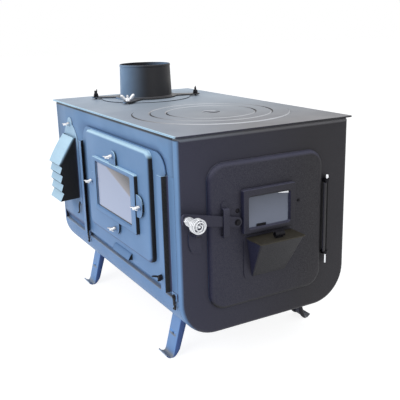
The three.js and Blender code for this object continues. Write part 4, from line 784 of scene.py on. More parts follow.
class STOVE_OT_shell(bpy.types.Operator):
    """Builds the tub, the walls, the end plates and the top plate"""

    bl_idname = "stove.shell"
    bl_label = "Build shell"

    def execute(self, context):
        s = in_mm(context.scene.stove_sizes)
        sides = (-s.half_width, s.half_width, s.body_bottom, s.body_top - GAP)
        top_corner = 6.0
        radii = (s.tub_radius, top_corner)
        lap = 16.0  # of the door over the plate, round its opening
        opening = around(DOOR_MIDDLE, s.door_width - 2 * lap, s.door_height - 2 * lap)
        hole = (opening, s.door_corner - lap)
        front = pressed_pan(sides, radii, -s.skirt, 0, s.rolled_edge, s.sheet, hole=hole)
        make_piece("front_plate_skin", "stove", "front_paint", "paint", on_front, [front],
                   replaces=["front_end_plate"])
        rear = pressed_pan(sides, radii, -s.skirt, 0, s.rolled_edge, s.sheet)

        def on_rear(points):
            return np.stack([-points[..., 0], s.body_length + points[..., 2], points[..., 1]], -1)

        make_piece("rear_plate_skin", "stove", "dark_paint", "paint", on_rear, [rear],
                   replaces=["rear_end_plate"])

        start, end = s.skirt + GAP, s.body_length - s.skirt - GAP
        self.tub(s, start, end)
        self.walls(s, start, end)
        self.top(s)
        return {"FINISHED"}

    @staticmethod
    def tub(s, start, end):
        """The tub's section: down from one lip, round both corners and up to the other, and back inside."""
        w, top, under = s.half_width, s.tub_top, s.tub_top - s.sheet
        cx, cy = w - s.tub_radius, s.body_bottom + s.tub_radius
        inner = s.tub_radius - s.sheet
        lip, soft, root = 8 - GAP, 1.2, 0.5
        section = np.concatenate([
            [(-w + soft, top), (-w, top - soft)],
            arc(-cx, cy, s.tub_radius, 180, 270, 24), arc(cx, cy, s.tub_radius, 270, 360, 24),
            [(w, top - soft), (w - soft, top), (w - lip, top), (w - lip, under), (w - s.sheet, under - root)],
            arc(cx, cy, inner, 358, 270, 24), arc(-cx, cy, inner, 270, 182, 24),
            [(-w + s.sheet, under - root), (-w + lip, under), (-w + lip, top)],
        ])
        make_piece("tub_skin", "stove", "side_paint", "paint", on_front, [bar(section, -end, -start)],
                   replaces=["bottom_tub"], sharp=28)

    @staticmethod
    def walls(s, start, end):
        """A wall's section runs up inside the tub, out over an S-shaped step, up the face and into the top
        flange; carried along the body it is a grid, whose cells behind the openings are left out."""
        tuck, flange = 8.0, 14.0
        bend_low, bend_high = s.tub_top + 3, s.tub_top + 26
        ceiling = s.body_top - GAP
        t = np.linspace(0, 1, 17)
        step = tuck * (1 - (3 * t**2 - 2 * t**3))
        levels = [204.0, 265.0, 343.0, 440.0]  # heights of the openings' edges
        line = np.concatenate([
            [(tuck, s.tub_top - 12)], np.column_stack([step, bend_low + t * (bend_high - bend_low)]),
            np.column_stack([np.zeros(4), levels]),
            [(0.0, ceiling - 2.0), (0.6, ceiling - 0.6), (2.0, ceiling), (flange, ceiling)],
        ])
        stations = [start, 80.0, 444.0, 561.0, 611.0, end]  # places of the openings' edges along the body
        for side, name, node, slot in ((-1, "left_wall_skin", "left_wall", "side_paint"),
                                       (1, "right_wall_skin", "right_wall", "dark_paint")):
            x = side * (s.half_width - line[:, 0])
            points = np.stack([np.stack([x, np.full(len(x), y), line[:, 1]], -1) for y in stations])
            first = 1 + len(t)
            open_cells = {(1, first), (1, first + 1), (1, first + 2), (3, first + 1)} if side < 0 else ()
            make_sheet(name, slot, side, open_grid(points, open_cells), s.sheet, [node])
        end_width = 1.5  # of the strips that close the step's ends
        notch = [(0.0, s.tub_top), (0.0, bend_high), (0.8, bend_high - 6), (4.0, (bend_low + bend_high) / 2),
                 (7.2, bend_low + 6), (tuck, bend_low), (tuck, s.tub_top)]
        for side, name, slot in ((-1, "left", "side_paint"), (1, "right", "dark_paint")):
            section = [(side * (s.half_width - a), z) for a, z in notch]
            make_piece(name + "_wall_ends", "stove", slot, "paint", upright,
                       [stood_along(bar(section, y - end_width, y)) for y in (start + end_width, end)])
        make_piece("hood_stud", "stove", "zinc", "zinc",
                   at(on_left, PANEL_MIDDLE - HOOD_MIDDLE, HOOD_STUD_HEIGHT), [stud(2.0, 18.6)])

    @staticmethod
    def top(s):
        over, corner, ledge_width, stud_height = s.plate_overhang, 4.0, 7, 22
        low, high = s.body_top, s.body_top + s.plate_thickness
        plan = corner_ring(-s.half_width - over, s.half_width + over, -over, s.body_length + over,
                           (corner, corner), 0, 0, 8)[:, :2]
        hob = circle(*HOB_MIDDLE, s.ring_outer + GAP, 160)[::-1]
        smoke = circle(*FLUE_MIDDLE, SMOKE_HOLE, 96)[::-1]
        plate = slab(plan, low, high, [hob, smoke])
        make_piece("top_plate_skin", "stove", "top_paint", "paint", upright, [plate], replaces=["top_plate"],
                   bevel=0.7)
        ledge = rectangle(s.ring_outer - ledge_width + GAP, s.ring_outer + ledge_width, -s.sheet, -0.05)
        make_piece("ring_ledge", "stove", "top_paint", "paint", at(upright, *HOB_MIDDLE, low),
                   [turned(ledge, s.round_steps, closed=True)])
        for name, angle in FLUE_STUDS.items():
            x, y = flue_stud_place(angle)
            make_piece("flue_stud_" + name, "stove", "zinc", "black" if name != "front" else "zinc",
                       at(upright, x, y), [stud(high, high + stud_height)])


def flue_stud_place(angle, middle=FLUE_MIDDLE):
    """Where the stud in a direction stands."""
    turn = math.radians(angle)
    return middle[0] + FLUE_STUD_CIRCLE * math.cos(turn), middle[1] + FLUE_STUD_CIRCLE * math.sin(turn)


def stud(low, high, radius=2.95, pitch=1.0):
    """A threaded stud: its radius swings between crest and root once for each pitch of height."""
    z = np.arange(low, high, pitch / 2)
    crest = np.where(np.arange(len(z)) % 2 == 0, radius, radius - 0.45)
    profile = [(0, low)] + list(zip(crest, z)) + [(radius - 0.8, high), (0, high)]
    return turned(profile, 24)


def wing_nut(span):
    """A wing nut, drawn for a span of 40: a tapered hub, and two wings. A wing's middle line climbs outwards
    along z = a + b t^1.5. Each section across it is an ellipse that widens, then rounds off at the tip."""
    unit, bore, count = span / 40, 3.05, 20
    profile = [(3.1, 0), (6.6, 0), (6.8, 0.6), (6.7, 2.4), (5.6, 8.2), (5.2, 9.0), (3.1, 9.0)]
    hub, faces = turned(profile, 48, closed=True)
    hub = hub * unit
    reach = np.hypot(hub[:, 0], hub[:, 1])
    narrow = reach < 3.3 * unit
    hub[narrow, :2] *= (bore / reach[narrow])[:, None]
    t = np.linspace(0, 1, count)
    angle = np.linspace(0, 2 * math.pi, count, endpoint=False)
    shells = [(hub, faces)]
    for side in (1, -1):
        middle = np.column_stack([side * (4 + 14.6 * t), np.zeros(count), 4.4 + 13.6 * t**1.5])
        along = np.gradient(middle, axis=0)
        along /= np.linalg.norm(along, axis=1)[:, None]
        across = np.cross(along, np.array([0, 1.0, 0]))
        close = np.sqrt(np.clip(1 - (np.clip(t - 0.8, 0, 1) / 0.205) ** 2, 0.0, 1))
        wide = (3.3 + 1.3 * np.sin(math.pi * t) ** 0.7 + 0.6 * t) * close
        thick = (1.9 - 0.5 * t) * (0.35 + 0.65 * close)
        ring = (middle[:, None] + np.cos(angle)[None, :, None] * across[:, None] * wide[:, None, None]
                + np.sin(angle)[None, :, None] * np.array([0, 1.0, 0]) * thick[:, None, None])
        shells.append(grid(ring * unit))
    return shells


# ---------- Cooking rings and flue ----------


class STOVE_OT_cooking_rings(bpy.types.Operator):
    """Builds the two cooking rings and the lid with its lifter cup"""

    bl_idname = "stove.cooking_rings"
    bl_label = "Build cooking rings"

    def execute(self, context):
        s = in_mm(context.scene.stove_sizes)
        place = at(upright, *HOB_MIDDLE, s.body_top + GAP)
        step, chamfer, edge, top = 7, 2.6, 2.6, 4.2
        ledge = s.sheet + GAP
        for name, outer, inner, hangs in (("outer", s.ring_outer, s.ring_inner + GAP, False),
                                          ("inner", s.ring_inner, s.ring_lid + GAP, True)):
            foot = outer - step if hangs else outer
            rim = [(foot, ledge), (outer, ledge)] if hangs else []
            profile = [(inner - step, 0), (foot, 0), *rim, (outer, edge), (outer - chamfer, top),
                       (inner + chamfer, top), (inner, edge), (inner, s.sheet), (inner - step, s.sheet)]
            make_piece("ring_" + name + "_skin", "ring_" + name, "top_paint", "paint", place,
                       [turned(profile, s.round_steps, closed=True)], replaces=["hob_ring_" + name], sharp=20)
        rim = [(s.ring_lid - step, 0), (s.ring_lid - step, ledge), (s.ring_lid, ledge), (s.ring_lid, edge),
               (s.ring_lid - chamfer, top)]
        cup = [(0, -3.6), (21, -3.6), (21, 0), *rim, (21, top), (20, 3.9), (19, 3.0), (18, 0), (16.5, -1.5),
               (14, -1.8), (0, -1.8)]
        bridge = slab(rectangle(-20.5, 20.5, -3.4, 3.4), 0.8, 3.7)
        make_piece("lid_skin", "lid", "top_paint", "paint", place, [turned(cup, s.round_steps), bridge],
                   replaces=["hob_lid"], sharp=20)
        return {"FINISHED"}


class STOVE_OT_flue(bpy.types.Operator):
    """Builds the flue's disc, flange and collar, and its three wing nuts"""

    bl_idname = "stove.flue"
    bl_label = "Build flue"

    def execute(self, context):
        s = in_mm(context.scene.stove_sizes)
        surface = s.body_top + s.plate_thickness
        flange, foot = surface + 3.1, surface + 6.4  # undersides of the flange and of the collar
        disc = [(SMOKE_HOLE, 0), (116, 0), (116, 1.4), (115.2, 2.2), (114, 2.5), (65, 2.5), (SMOKE_HOLE, 2)]
        make_piece("flue_disc_skin", "stove", "top_paint", "paint", at(upright, *FLUE_MIDDLE, surface + GAP),
                   [turned(disc, s.round_steps, closed=True)], replaces=["flue_disc"], sharp=20)
        self.flange(s, flange)
        radius, rim, height = s.collar_radius, s.collar_rim, s.collar_height
        bead = [(rim + 0.8 * math.sin(a), height - 3.5 - 2.5 * math.cos(a))
                for a in np.linspace(0, math.pi, 9)]
        collar = [(radius - 1.5, 0), (radius + 1.6, 0), (radius + 1.2, 0.7), (radius, 2.2), *bead,
                  (rim - 0.4, height), (rim - 1.2, height), (rim - 1.5, height - 0.4)]
        make_piece("collar_skin", "stove", "dark_paint", "collar", at(upright, *FLUE_MIDDLE, foot),
                   [turned(collar, s.round_steps, closed=True)], replaces=["flue_collar"], sharp=25)
        for name, angle in FLUE_STUDS.items():
            x, y = flue_stud_place(angle)
            bright = name == "front"
            make_piece("flue_nut_" + name + "_skin", "flue_nut_" + name, "zinc" if bright else "dark_paint",
                       "zinc" if bright else "black", at(upright, x, y, foot, 0 if bright else math.pi / 3),
                       wing_nut(s.flue_nut_span), replaces=["flue_wing_nut_" + name], sharp=40)
        return {"FINISHED"}

    @staticmethod
    def flange(s, height):
        """The flange's edge in polar form: a circle, and at each stud a lug whose straight flanks close in on
        a round end. The edge is where a ray from the middle leaves the union of both."""
        count, radius, root, tip, studs = 720, 80.0, 30, 11, FLUE_STUD_CIRCLE
        slope = (root - tip) / studs
        angle = np.radians(np.arange(count) * 360 / count)
        ray = np.column_stack([np.cos(angle), np.sin(angle)])
        reach = np.full(count, radius)
        for stud_angle in FLUE_STUDS.values():
            turn = math.radians(stud_angle)
            forward, side = ray @ [math.cos(turn), math.sin(turn)], ray @ [-math.sin(turn), math.cos(turn)]
            flank = np.where(forward > 0.2, root / (np.abs(side) + slope * forward + 1e-9), 0)
            flank = np.where(flank * forward <= studs, flank, 0)
            inner = tip**2 - (studs * side) ** 2
            end = np.where((inner > 0) & (forward > 0), studs * forward + np.sqrt(np.clip(inner, 0, None)), 0)
            reach = np.maximum(reach, np.maximum(flank, end))
        outline = ray * reach[:, None]
        bore = circle(0, 0, s.collar_radius - 1.5, 96)[::-1]
        holes = [circle(*flue_stud_place(a, (0, 0)), 3.6, 24)[::-1] for a in FLUE_STUDS.values()]
        make_piece("flange_skin", "stove", "dark_paint", "collar", at(upright, *FLUE_MIDDLE, height),
                   [slab(outline, 0, 3, [bore, *holes])], replaces=["flue_flange"], bevel=0.5, sharp=50)


# ---------- Legs ----------


class STOVE_OT_legs(bpy.types.Operator):
    """Builds the four pressed legs"""

    bl_idname = "stove.legs"
    bl_label = "Build legs"

    def execute(self, context):
        for end, y in {"front": 97.0, "rear": 563.0}.items():
            for name, side in {"left": -1, "right": 1}.items():
                node = "leg_%s_%s" % (end, name)
                slot = "side_paint" if side < 0 else "dark_paint"
                make_sheet(node + "_skin", slot, side, self.channel(side, y), 2.8, [node])
        return {"FINISHED"}

    @staticmethod
    def channel(side, y, width=40.0, bend=3.5):
        """A pressed channel: down its length the outer face follows the splayed line and curls out at the
        toe; across, the section is flange, bend, face, bend, flange, and the flanges run out at the ankle.
        Two cells of the face give way to a flat patch with a round hole."""
        spine = np.concatenate([
            np.column_stack([np.linspace(152, 170.6, 14), np.linspace(91.4, 20, 14)]),
            curve((171.6, 16), (174.6, 2.5), (180, 3.2), steps=9),
            curve((181, 3.6), (185, 5.4), (188, 9.4), steps=5)])
        depth = np.concatenate([np.linspace(16, 12.5, 14), np.linspace(11, 0.6, 10), np.full(6, 0.6)])
        along = np.gradient(spine, axis=0)
        along /= np.linalg.norm(along, axis=1)[:, None]
        inward = np.column_stack([along[:, 1], -along[:, 0]])
        angle = np.radians(np.linspace(90, 0, 7))
        corner = np.column_stack([bend * (1 - np.sin(angle)), bend * (1 - np.cos(angle))])
        rows = []
        for place, dip, reach in zip(spine, inward, depth):
            soft = min(1.0, reach / bend)
            half = [(0.0, max(reach, bend * soft))] + [(a, b * soft) for a, b in corner]
            profile = half + [(width - a, b) for a, b in half[::-1]]
            rows.append([(side * (place[0] + dip[0] * b), y + a, place[1] + dip[1] * b) for a, b in profile])
        rows = np.array(rows)
        web, first, hole = len(half) - 1, 7, 3.0
        points, faces = open_grid(rows, {(first, web), (first + 1, web)})
        left, right = (rows[first:first + 3, column] for column in (web, web + 1))
        middle = (left[1] + right[1]) / 2
        across, up = (v / np.linalg.norm(v) for v in (right[1] - left[1], left[2] - left[0]))
        ring = np.array([middle + hole * (math.cos(a) * across + math.sin(a) * up)
                         for a in np.linspace(0, 2 * math.pi, 24, endpoint=False)])
        loops = [np.concatenate([left, right[::-1]]), ring]
        triangles = tessellate_polygon([[Vector(p) for p in loop] for loop in loops])
        patch = np.concatenate(loops)
        faces += [[i + len(points) for i in t] for t in triangles]
        return np.concatenate([points, patch]), faces


# ---------- Fire door ----------


class STOVE_OT_door(bpy.types.Operator):
    """Builds the fire door with its window, seal and hinge"""

    bl_idname = "stove.door"
    bl_label = "Build fire door"

    def execute(self, context):
        s = in_mm(context.scene.stove_sizes)
        sides = around(DOOR_MIDDLE, s.door_width, s.door_height)
        radii = (s.door_corner, s.door_corner)
        glass_hole = around(DOOR_GLASS_MIDDLE, 96, 63)
        door = pressed_pan(sides, radii, 0.3, s.door_depth, s.door_edge, s.sheet, hole=(glass_hole, 3.0))
        make_piece("door_skin", "door", "front_paint", "paint", on_front, [door], replaces=["fire_door"])
        loop = corner_ring(*sides, radii, s.door_edge - s.sheet, 3.8, 40)
        make_piece("seal_rope", "door", "rope", "rope", on_front,
                   [tube(self.even(loop, 900), 3.3, (0, 0, 1), 12, closed=True, lobes=3, twist=0.5)],
                   replaces=["door_seal"], sharp=80)
        self.window(s)
        self.hinge()
        return {"FINISHED"}

    @staticmethod
    def even(loop, count):
        """The loop's points spread evenly along its length."""
        closed = np.concatenate([loop, loop[:1]])
        run = np.concatenate([[0], np.cumsum(np.linalg.norm(np.diff(closed, axis=0), axis=1))])
        where = np.linspace(0, run[-1], count, endpoint=False)
        return np.stack([np.interp(where, run, closed[:, k]) for k in range(3)], -1)

    @staticmethod
    def window(s):
        face, pane_thickness = s.door_depth + GAP, 4
        outer = around((-11.0, 331.0), 122, 88)
        glass = around(DOOR_GLASS_MIDDLE, 94, 61)
        rings = window_rings(outer, glass, face, 10.0, 3.5, 4.6)
        make_piece("door_window_skin", "door", "front_paint", "paint", on_front,
                   [grid(rings, wrap_rows=True)], replaces=["door_window_frame"], sharp=40)
        pane = corner_ring(*glass, (3, 3), -7, 0)[:, :2]
        make_piece("door_pane", "door", "door_pane", "door_pane", on_front,
                   [slab(pane, face + GAP, face + GAP + pane_thickness)], replaces=["door_glass"], bevel=0.4)
        for name, x, z, radius in (("left", -80, 335, 4.4), ("right", 65, 333, 3.4)):
            make_piece("window_screw_%s_skin" % name, "door", "zinc", "black", at(on_front, x, z, face),
                       screw(radius), replaces=["door_window_screw_" + name], sharp=30)
        clips = {"low": (-29, 300.6, rectangle(-11, 11, -2.5, 2.5), "black"),
                 "high": (23.4, 357, [(-12.5, 0.8), (12.5, -2.8), (12.5, 1.6), (-12.5, 1.6)], "zinc")}
        for name, (x, z, outline, finish) in clips.items():
            make_piece("glass_clip_" + name, "door", "zinc" if name == "high" else "dark_paint", finish,
                       at(on_front, x, z, face + 4.5), [slab(outline, 0, 1.4)], bevel=0.4)

    @staticmethod
    def hinge():
        x, out, bore, low, high = 139.0, 8.0, 2.7, 211, 359
        outline = [(bore, low), (3.2, low), (3.6, low + 0.5), (3.6, high - 0.5), (3.2, high), (bore, high)]

        def stand(points):
            return on_front(np.stack([points[..., 0] + x, points[..., 2], points[..., 1] + out], -1))

        leaf_line = [(128, 12.4), (130, 12.4), (133.4, 11.9), (135, 10.8), (135.6, 9.8)]
        make_piece("knuckle_skin", "door", "dark_paint", "ink", stand, [turned(outline, 40, closed=True)],
                   replaces=["hinge_knuckle"], sharp=35)
        make_piece("hinge_leaf", "door", "front_paint", "paint", over_front,
                   [bar(strap(leaf_line, 1.8), low + GAP, high - GAP)], sharp=35)
        pin = turned([(0, 183), (1.8, 183), (2.4, 183.7), (2.4, 368), (3.6, 368.3), (3.8, 370), (3.6, 373.5),
                      (2.6, 375.2), (0, 375.8)], 32)
        make_piece("pin_skin", "stove", "zinc", "zinc", stand, [pin], replaces=["hinge_pin"], sharp=35)
        radius, tall = 5.5, 7
        for name, foot in (("top", high + GAP), ("bottom", low - tall - GAP)):
            eye = np.concatenate([[(x - radius, GAP), (x + radius, GAP)], arc(x, out, radius, 0, 180, 20)])
            make_piece("eye_%s_skin" % name, "stove", "dark_paint", "black", over_front,
                       [slab(eye, foot, foot + tall, [circle(x, out, bore, 24)[::-1]])],
                       replaces=["hinge_eye_" + name], bevel=0.5, sharp=40)


def window_rings(outer, glass, back, depth, edge, recess):
    """A window frame in section: up the outside, round a soft edge, across, then down in a cove to a narrow
    ledge beside the glass, and back behind it."""
    front = back + depth
    radii = (4.0, 4.0)
    soft = rolled(0, front, 1.6, 4)
    rings = [corner_ring(*outer, radii, i, z) for i, z in [(0, back), *soft]]
    cove = [(-edge, front), (-edge + 1.2, front - 0.5), (-1.2, front - recess * 0.75), (0, front - recess),
            (0, back + 4.6), (-8.3, back + 4.6), (-8.3, back)]
    rings += [corner_ring(*glass, (3.0, 3.0), i, z) for i, z in cove]
    return np.array(rings)


def screw(radius=3.4, height=2.6):
    """A domed screw head: height falls off with the square of the radius, with a dimple in the middle."""
    r = np.linspace(radius, 0, 10)
    dome = height * (1 - (r / radius) ** 2.4) * 0.85 + 0.3
    dimple = 0.9 * np.clip(1 - (r / 1.3) ** 2, 0, 1)
    return [turned([(0, 0), (radius, 0), *zip(r, dome - dimple)], 32)]


# ---------- Latch ----------


class STOVE_OT_latch(bpy.types.Operator):
    """Builds the latch bar with its coil handle, its bracket, its pivot and the keeper"""

    bl_idname = "stove.latch"
    bl_label = "Build latch"

    def execute(self, context):
        s = in_mm(context.scene.stove_sizes)
        back, front = s.door_depth + 2.3, s.door_depth + 6.8
        tilt = -math.radians(12)
        pivot_x, pivot_z, reach, half = -84.0, 314.5, 111.5, 10
        turning = at(on_front, pivot_x, pivot_z, 0, tilt)
        end, bend = -reach - half, -reach - half / 2
        outline = np.concatenate([
            arc(0, 0, half, -90, 90, 20), curve((bend, half), (end, half), (end, 0), steps=8),
            curve((end, 0), (end, -half), (bend, -half), steps=8)[1:]])
        holes = [circle(0, 0, 4.3, 24)[::-1], circle(-reach, 0, 2.7, 24)[::-1]]
        make_piece("latch_bar_skin", "latch", "front_paint", "paint", turning,
                   [slab(outline, back, front, holes)],
                   replaces=["latch_bar"], bevel=0.6, sharp=40)
        handle = at(on_front, pivot_x - reach * math.cos(tilt), pivot_z - reach * math.sin(tilt), 0)
        start = front + 6.6
        make_piece("coil_skin", "latch", "zinc", "zinc", handle, [self.coil(s, start)],
                   replaces=["handle_coil"], sharp=80)
        nut = hexagon(8, front + GAP, front + GAP + 6, 1.0)
        tip = start + 42.1
        bolt = turned([(0, back), (2.4, back), (2.4, tip - 1), (1.8, tip), (0, tip)], 24)
        make_piece("handle_bolt_skin", "latch", "zinc", "zinc", handle, [nut, bolt], replaces=["handle_bolt"],
                   bevel=0.3, sharp=40)
        low, high, foot = front + GAP, front + 1.3, s.door_depth + GAP
        washer = [(4.2, low), (6.2, low), (6.2, high - 0.3), (5.8, high), (4.2, high)]
        pivot = [hexagon(5.2, high, high + 3, 0.9), turned(washer, 40, closed=True),
                 turned([(0, foot), (4, foot), (4, front + 1), (0, front + 1)], 32)]
        make_piece("pivot_bolt_skin", "door", "dark_paint", "black", at(on_front, pivot_x, pivot_z, 0), pivot,
                   replaces=["latch_pivot_bolt"], sharp=35)
        self.bracket(s)
        self.keeper(front)
        return {"FINISHED"}

    @staticmethod
    def coil(s, start):
        """The spring's wire: narrow turns of the neck, then the radius grows as the height does, then the
        wide turns, and at the end a flat spiral closes in. Place = (r cos 2 pi t, r sin 2 pi t, h), t in
        turns."""
        last, neck, body = 4.4, 4.5, 2.7
        grow = (s.coil_radius - s.coil_neck) / s.coil_pitch
        close = (s.coil_radius - last) / s.coil_pitch
        t = np.linspace(0, neck + grow + body + close, 560)
        wide = np.clip(t - neck, 0, grow) - np.maximum(t - neck - grow - body, 0)
        radius = s.coil_neck + s.coil_pitch * wide
        height = start + s.coil_wire + s.coil_pitch * np.minimum(t, neck + grow + body)
        path = np.column_stack([radius * np.cos(2 * np.pi * t), radius * np.sin(2 * np.pi * t), height])
        return tube(path, s.coil_wire, (0, 0, 1), 12)

    @staticmethod
    def bracket(s):
        """The bracket's strap in section, carried across, and its round-headed foot."""
        back, front, low, high, bend, soft = s.door_depth + GAP, s.door_depth + 10.1, 290, 346, 2.5, 0.7
        line = [(back, low), (front - bend, low), (front - soft, low + soft), (front, low + bend),
                (front, high - bend), (front - soft, high - soft), (front - bend, high), (back, high)]
        middle, half = -110, 6.5
        left, right = middle - half, middle + half
        foot = np.concatenate([[(left, high - 2), (right, high - 2)], arc(middle, 351.5, half, 0, 180, 16)])
        make_piece("bracket_skin", "door", "front_paint", "paint", on_front,
                   [stood_across(bar(strap(line, 2.0), left, right)), slab(foot, back, back + 2)],
                   replaces=["latch_bracket"], bevel=0.4, sharp=40)

    @staticmethod
    def keeper(front):
        """The keeper: a rounded plate on the front, and a tongue in section below the level bar."""
        inner, high, low, shelf = -156, 318, 264, 304.2
        plate = np.concatenate([
            [(inner, high)], curve((-175, high), (-189, 291), (-177, 269)),
            curve((-177, 269), (-174, low), (-168, low)), [(inner, low)]])[::-1]
        line = [(GAP, shelf), (front + 3.4, shelf), (front + 4.6, shelf + 1.2), (front + 5, shelf + 14)]
        tongue = stood_across(bar(strap(line, -2.6), -178, -165))
        make_piece("keeper_rivet", "stove", "zinc", "zinc", at(on_front, -168, 267.5, 3.2), screw(1.1, 0.7))
        make_piece("keeper_skin", "stove", "front_paint", "paint", on_front,
                   [slab(plate, GAP, GAP + 3), tongue], replaces=["latch_keeper"], bevel=0.4, sharp=40)


def hexagon(radius, low, high, chamfer):
    """A hexagonal head: two hexagons joined, the upper one drawn in and rounded by a circle."""
    six = circle(0, 0, radius, 6)
    round_top = circle(0, 0, radius * 0.87, 6)
    rings = [(six, low), (six, high - chamfer * 0.6), (round_top, high)]
    return grid(np.array([np.column_stack([ring, np.full(6, z)]) for ring, z in rings]))


# ---------- Air box ----------


class STOVE_OT_air_box(bpy.types.Operator):
    """Builds the air box, its flap and the flap's grip"""

    bl_idname = "stove.air_box"
    bl_label = "Build air box"

    def execute(self, context):
        """The box: a hopper between a narrow ring at its foot and a wide one at its lip, closed below; then a
        well that goes down from the lip inside, by shrinking the lip's ring towards its middle."""
        s = in_mm(context.scene.stove_sizes)
        face, centre, foot, lip, well = s.door_depth + GAP, -9.0, 196, 275.7, 32
        wide = corner_ring(-51, 51, face, 61, (0.5, 5), 0, lip, 6)
        narrow = corner_ring(-40, 40, face, face + 4, (0.5, 3), 0, foot, 6)
        rings = np.array([narrow + (wide - narrow) * t for t in (0.0, 0.5, 1.0)])
        hopper = np.stack([rings[..., 0] + centre, rings[..., 2], rings[..., 1]], -1)
        outside, outside_faces = grid(hopper, caps=False)
        count = hopper.shape[1]
        outside_faces.append(list(range(count))[::-1])
        rim, back = hopper[-1].copy(), face + 1.6
        rim[:, 0] = centre + (rim[:, 0] - centre) * 0.97
        rim[:, 2] = back + (rim[:, 2] - face) * 0.94
        floor = rim.copy()
        floor[:, 0] = centre + (floor[:, 0] - centre) * 0.87
        floor[:, 1] -= well
        floor[:, 2] = back + (floor[:, 2] - back) * 0.5
        inside, inside_faces = grid(np.array([hopper[-1], rim, floor]), caps=False)
        inside_faces.append(list(range(2 * count, 3 * count)))
        flange = corner_ring(centre - 58, centre + 58, 189, 281, (15, 15), 0, 0)[:, :2]
        make_piece("air_box_skin", "door", "front_paint", "paint", on_front,
                   [(outside, outside_faces), (inside, inside_faces)], replaces=["air_box"], sharp=32)
        make_piece("air_flange", "door", "front_paint", "paint", on_front, [slab(flange, face, face + 1.5)],
                   bevel=0.4)
        flap = corner_ring(-53, 53, 13.4, 63.4, (1, 4), 0, 0)[:, :2]
        make_piece("flap_skin", "air_flap", "dark_paint", "flap", at(over_front, centre),
                   [slab(flap, 276, 278)], replaces=["air_lid"], bevel=0.5)
        self.grip(centre)
        return {"FINISHED"}

    @staticmethod
    def grip(centre):
        """The grip: a short tube whose radius ripples along its length, on a small stem."""
        half, bore = 10.5, 3.2
        run = np.linspace(-half, half, 53)
        wave = 5.2 + 0.25 * np.cos(run * 2 * np.pi / 2.6)
        profile = [(bore, -half), *zip(wave, run), (bore, half)]
        x, out, z = centre + 2, 45.4, 285.4
        points, faces = stood_across(turned(profile, 48, closed=True))
        stem = slab([(x - 8, 278.2), (x + 8, 278.2), (x + 6, 281.6), (x - 6, 281.6)], out - 2, out + 2)
        make_piece("grip_skin", "air_flap", "dark_paint", "black", on_front,
                   [(points + [x, z, out], faces), stem], replaces=["air_lid_grip"], sharp=40)


# ---------- Side panel ----------

PANEL_FACE = 17.3
CLAMPS = {  # across, up, turn and length
    "top": (5.5, 412.0, 0.0, 36), "bottom": (5.5, 253.0, math.pi, 36),
    "front": (139.0, 332.5, -math.pi / 2, 46), "rear": (-128.0, 332.5, math.pi / 2, 46),
}


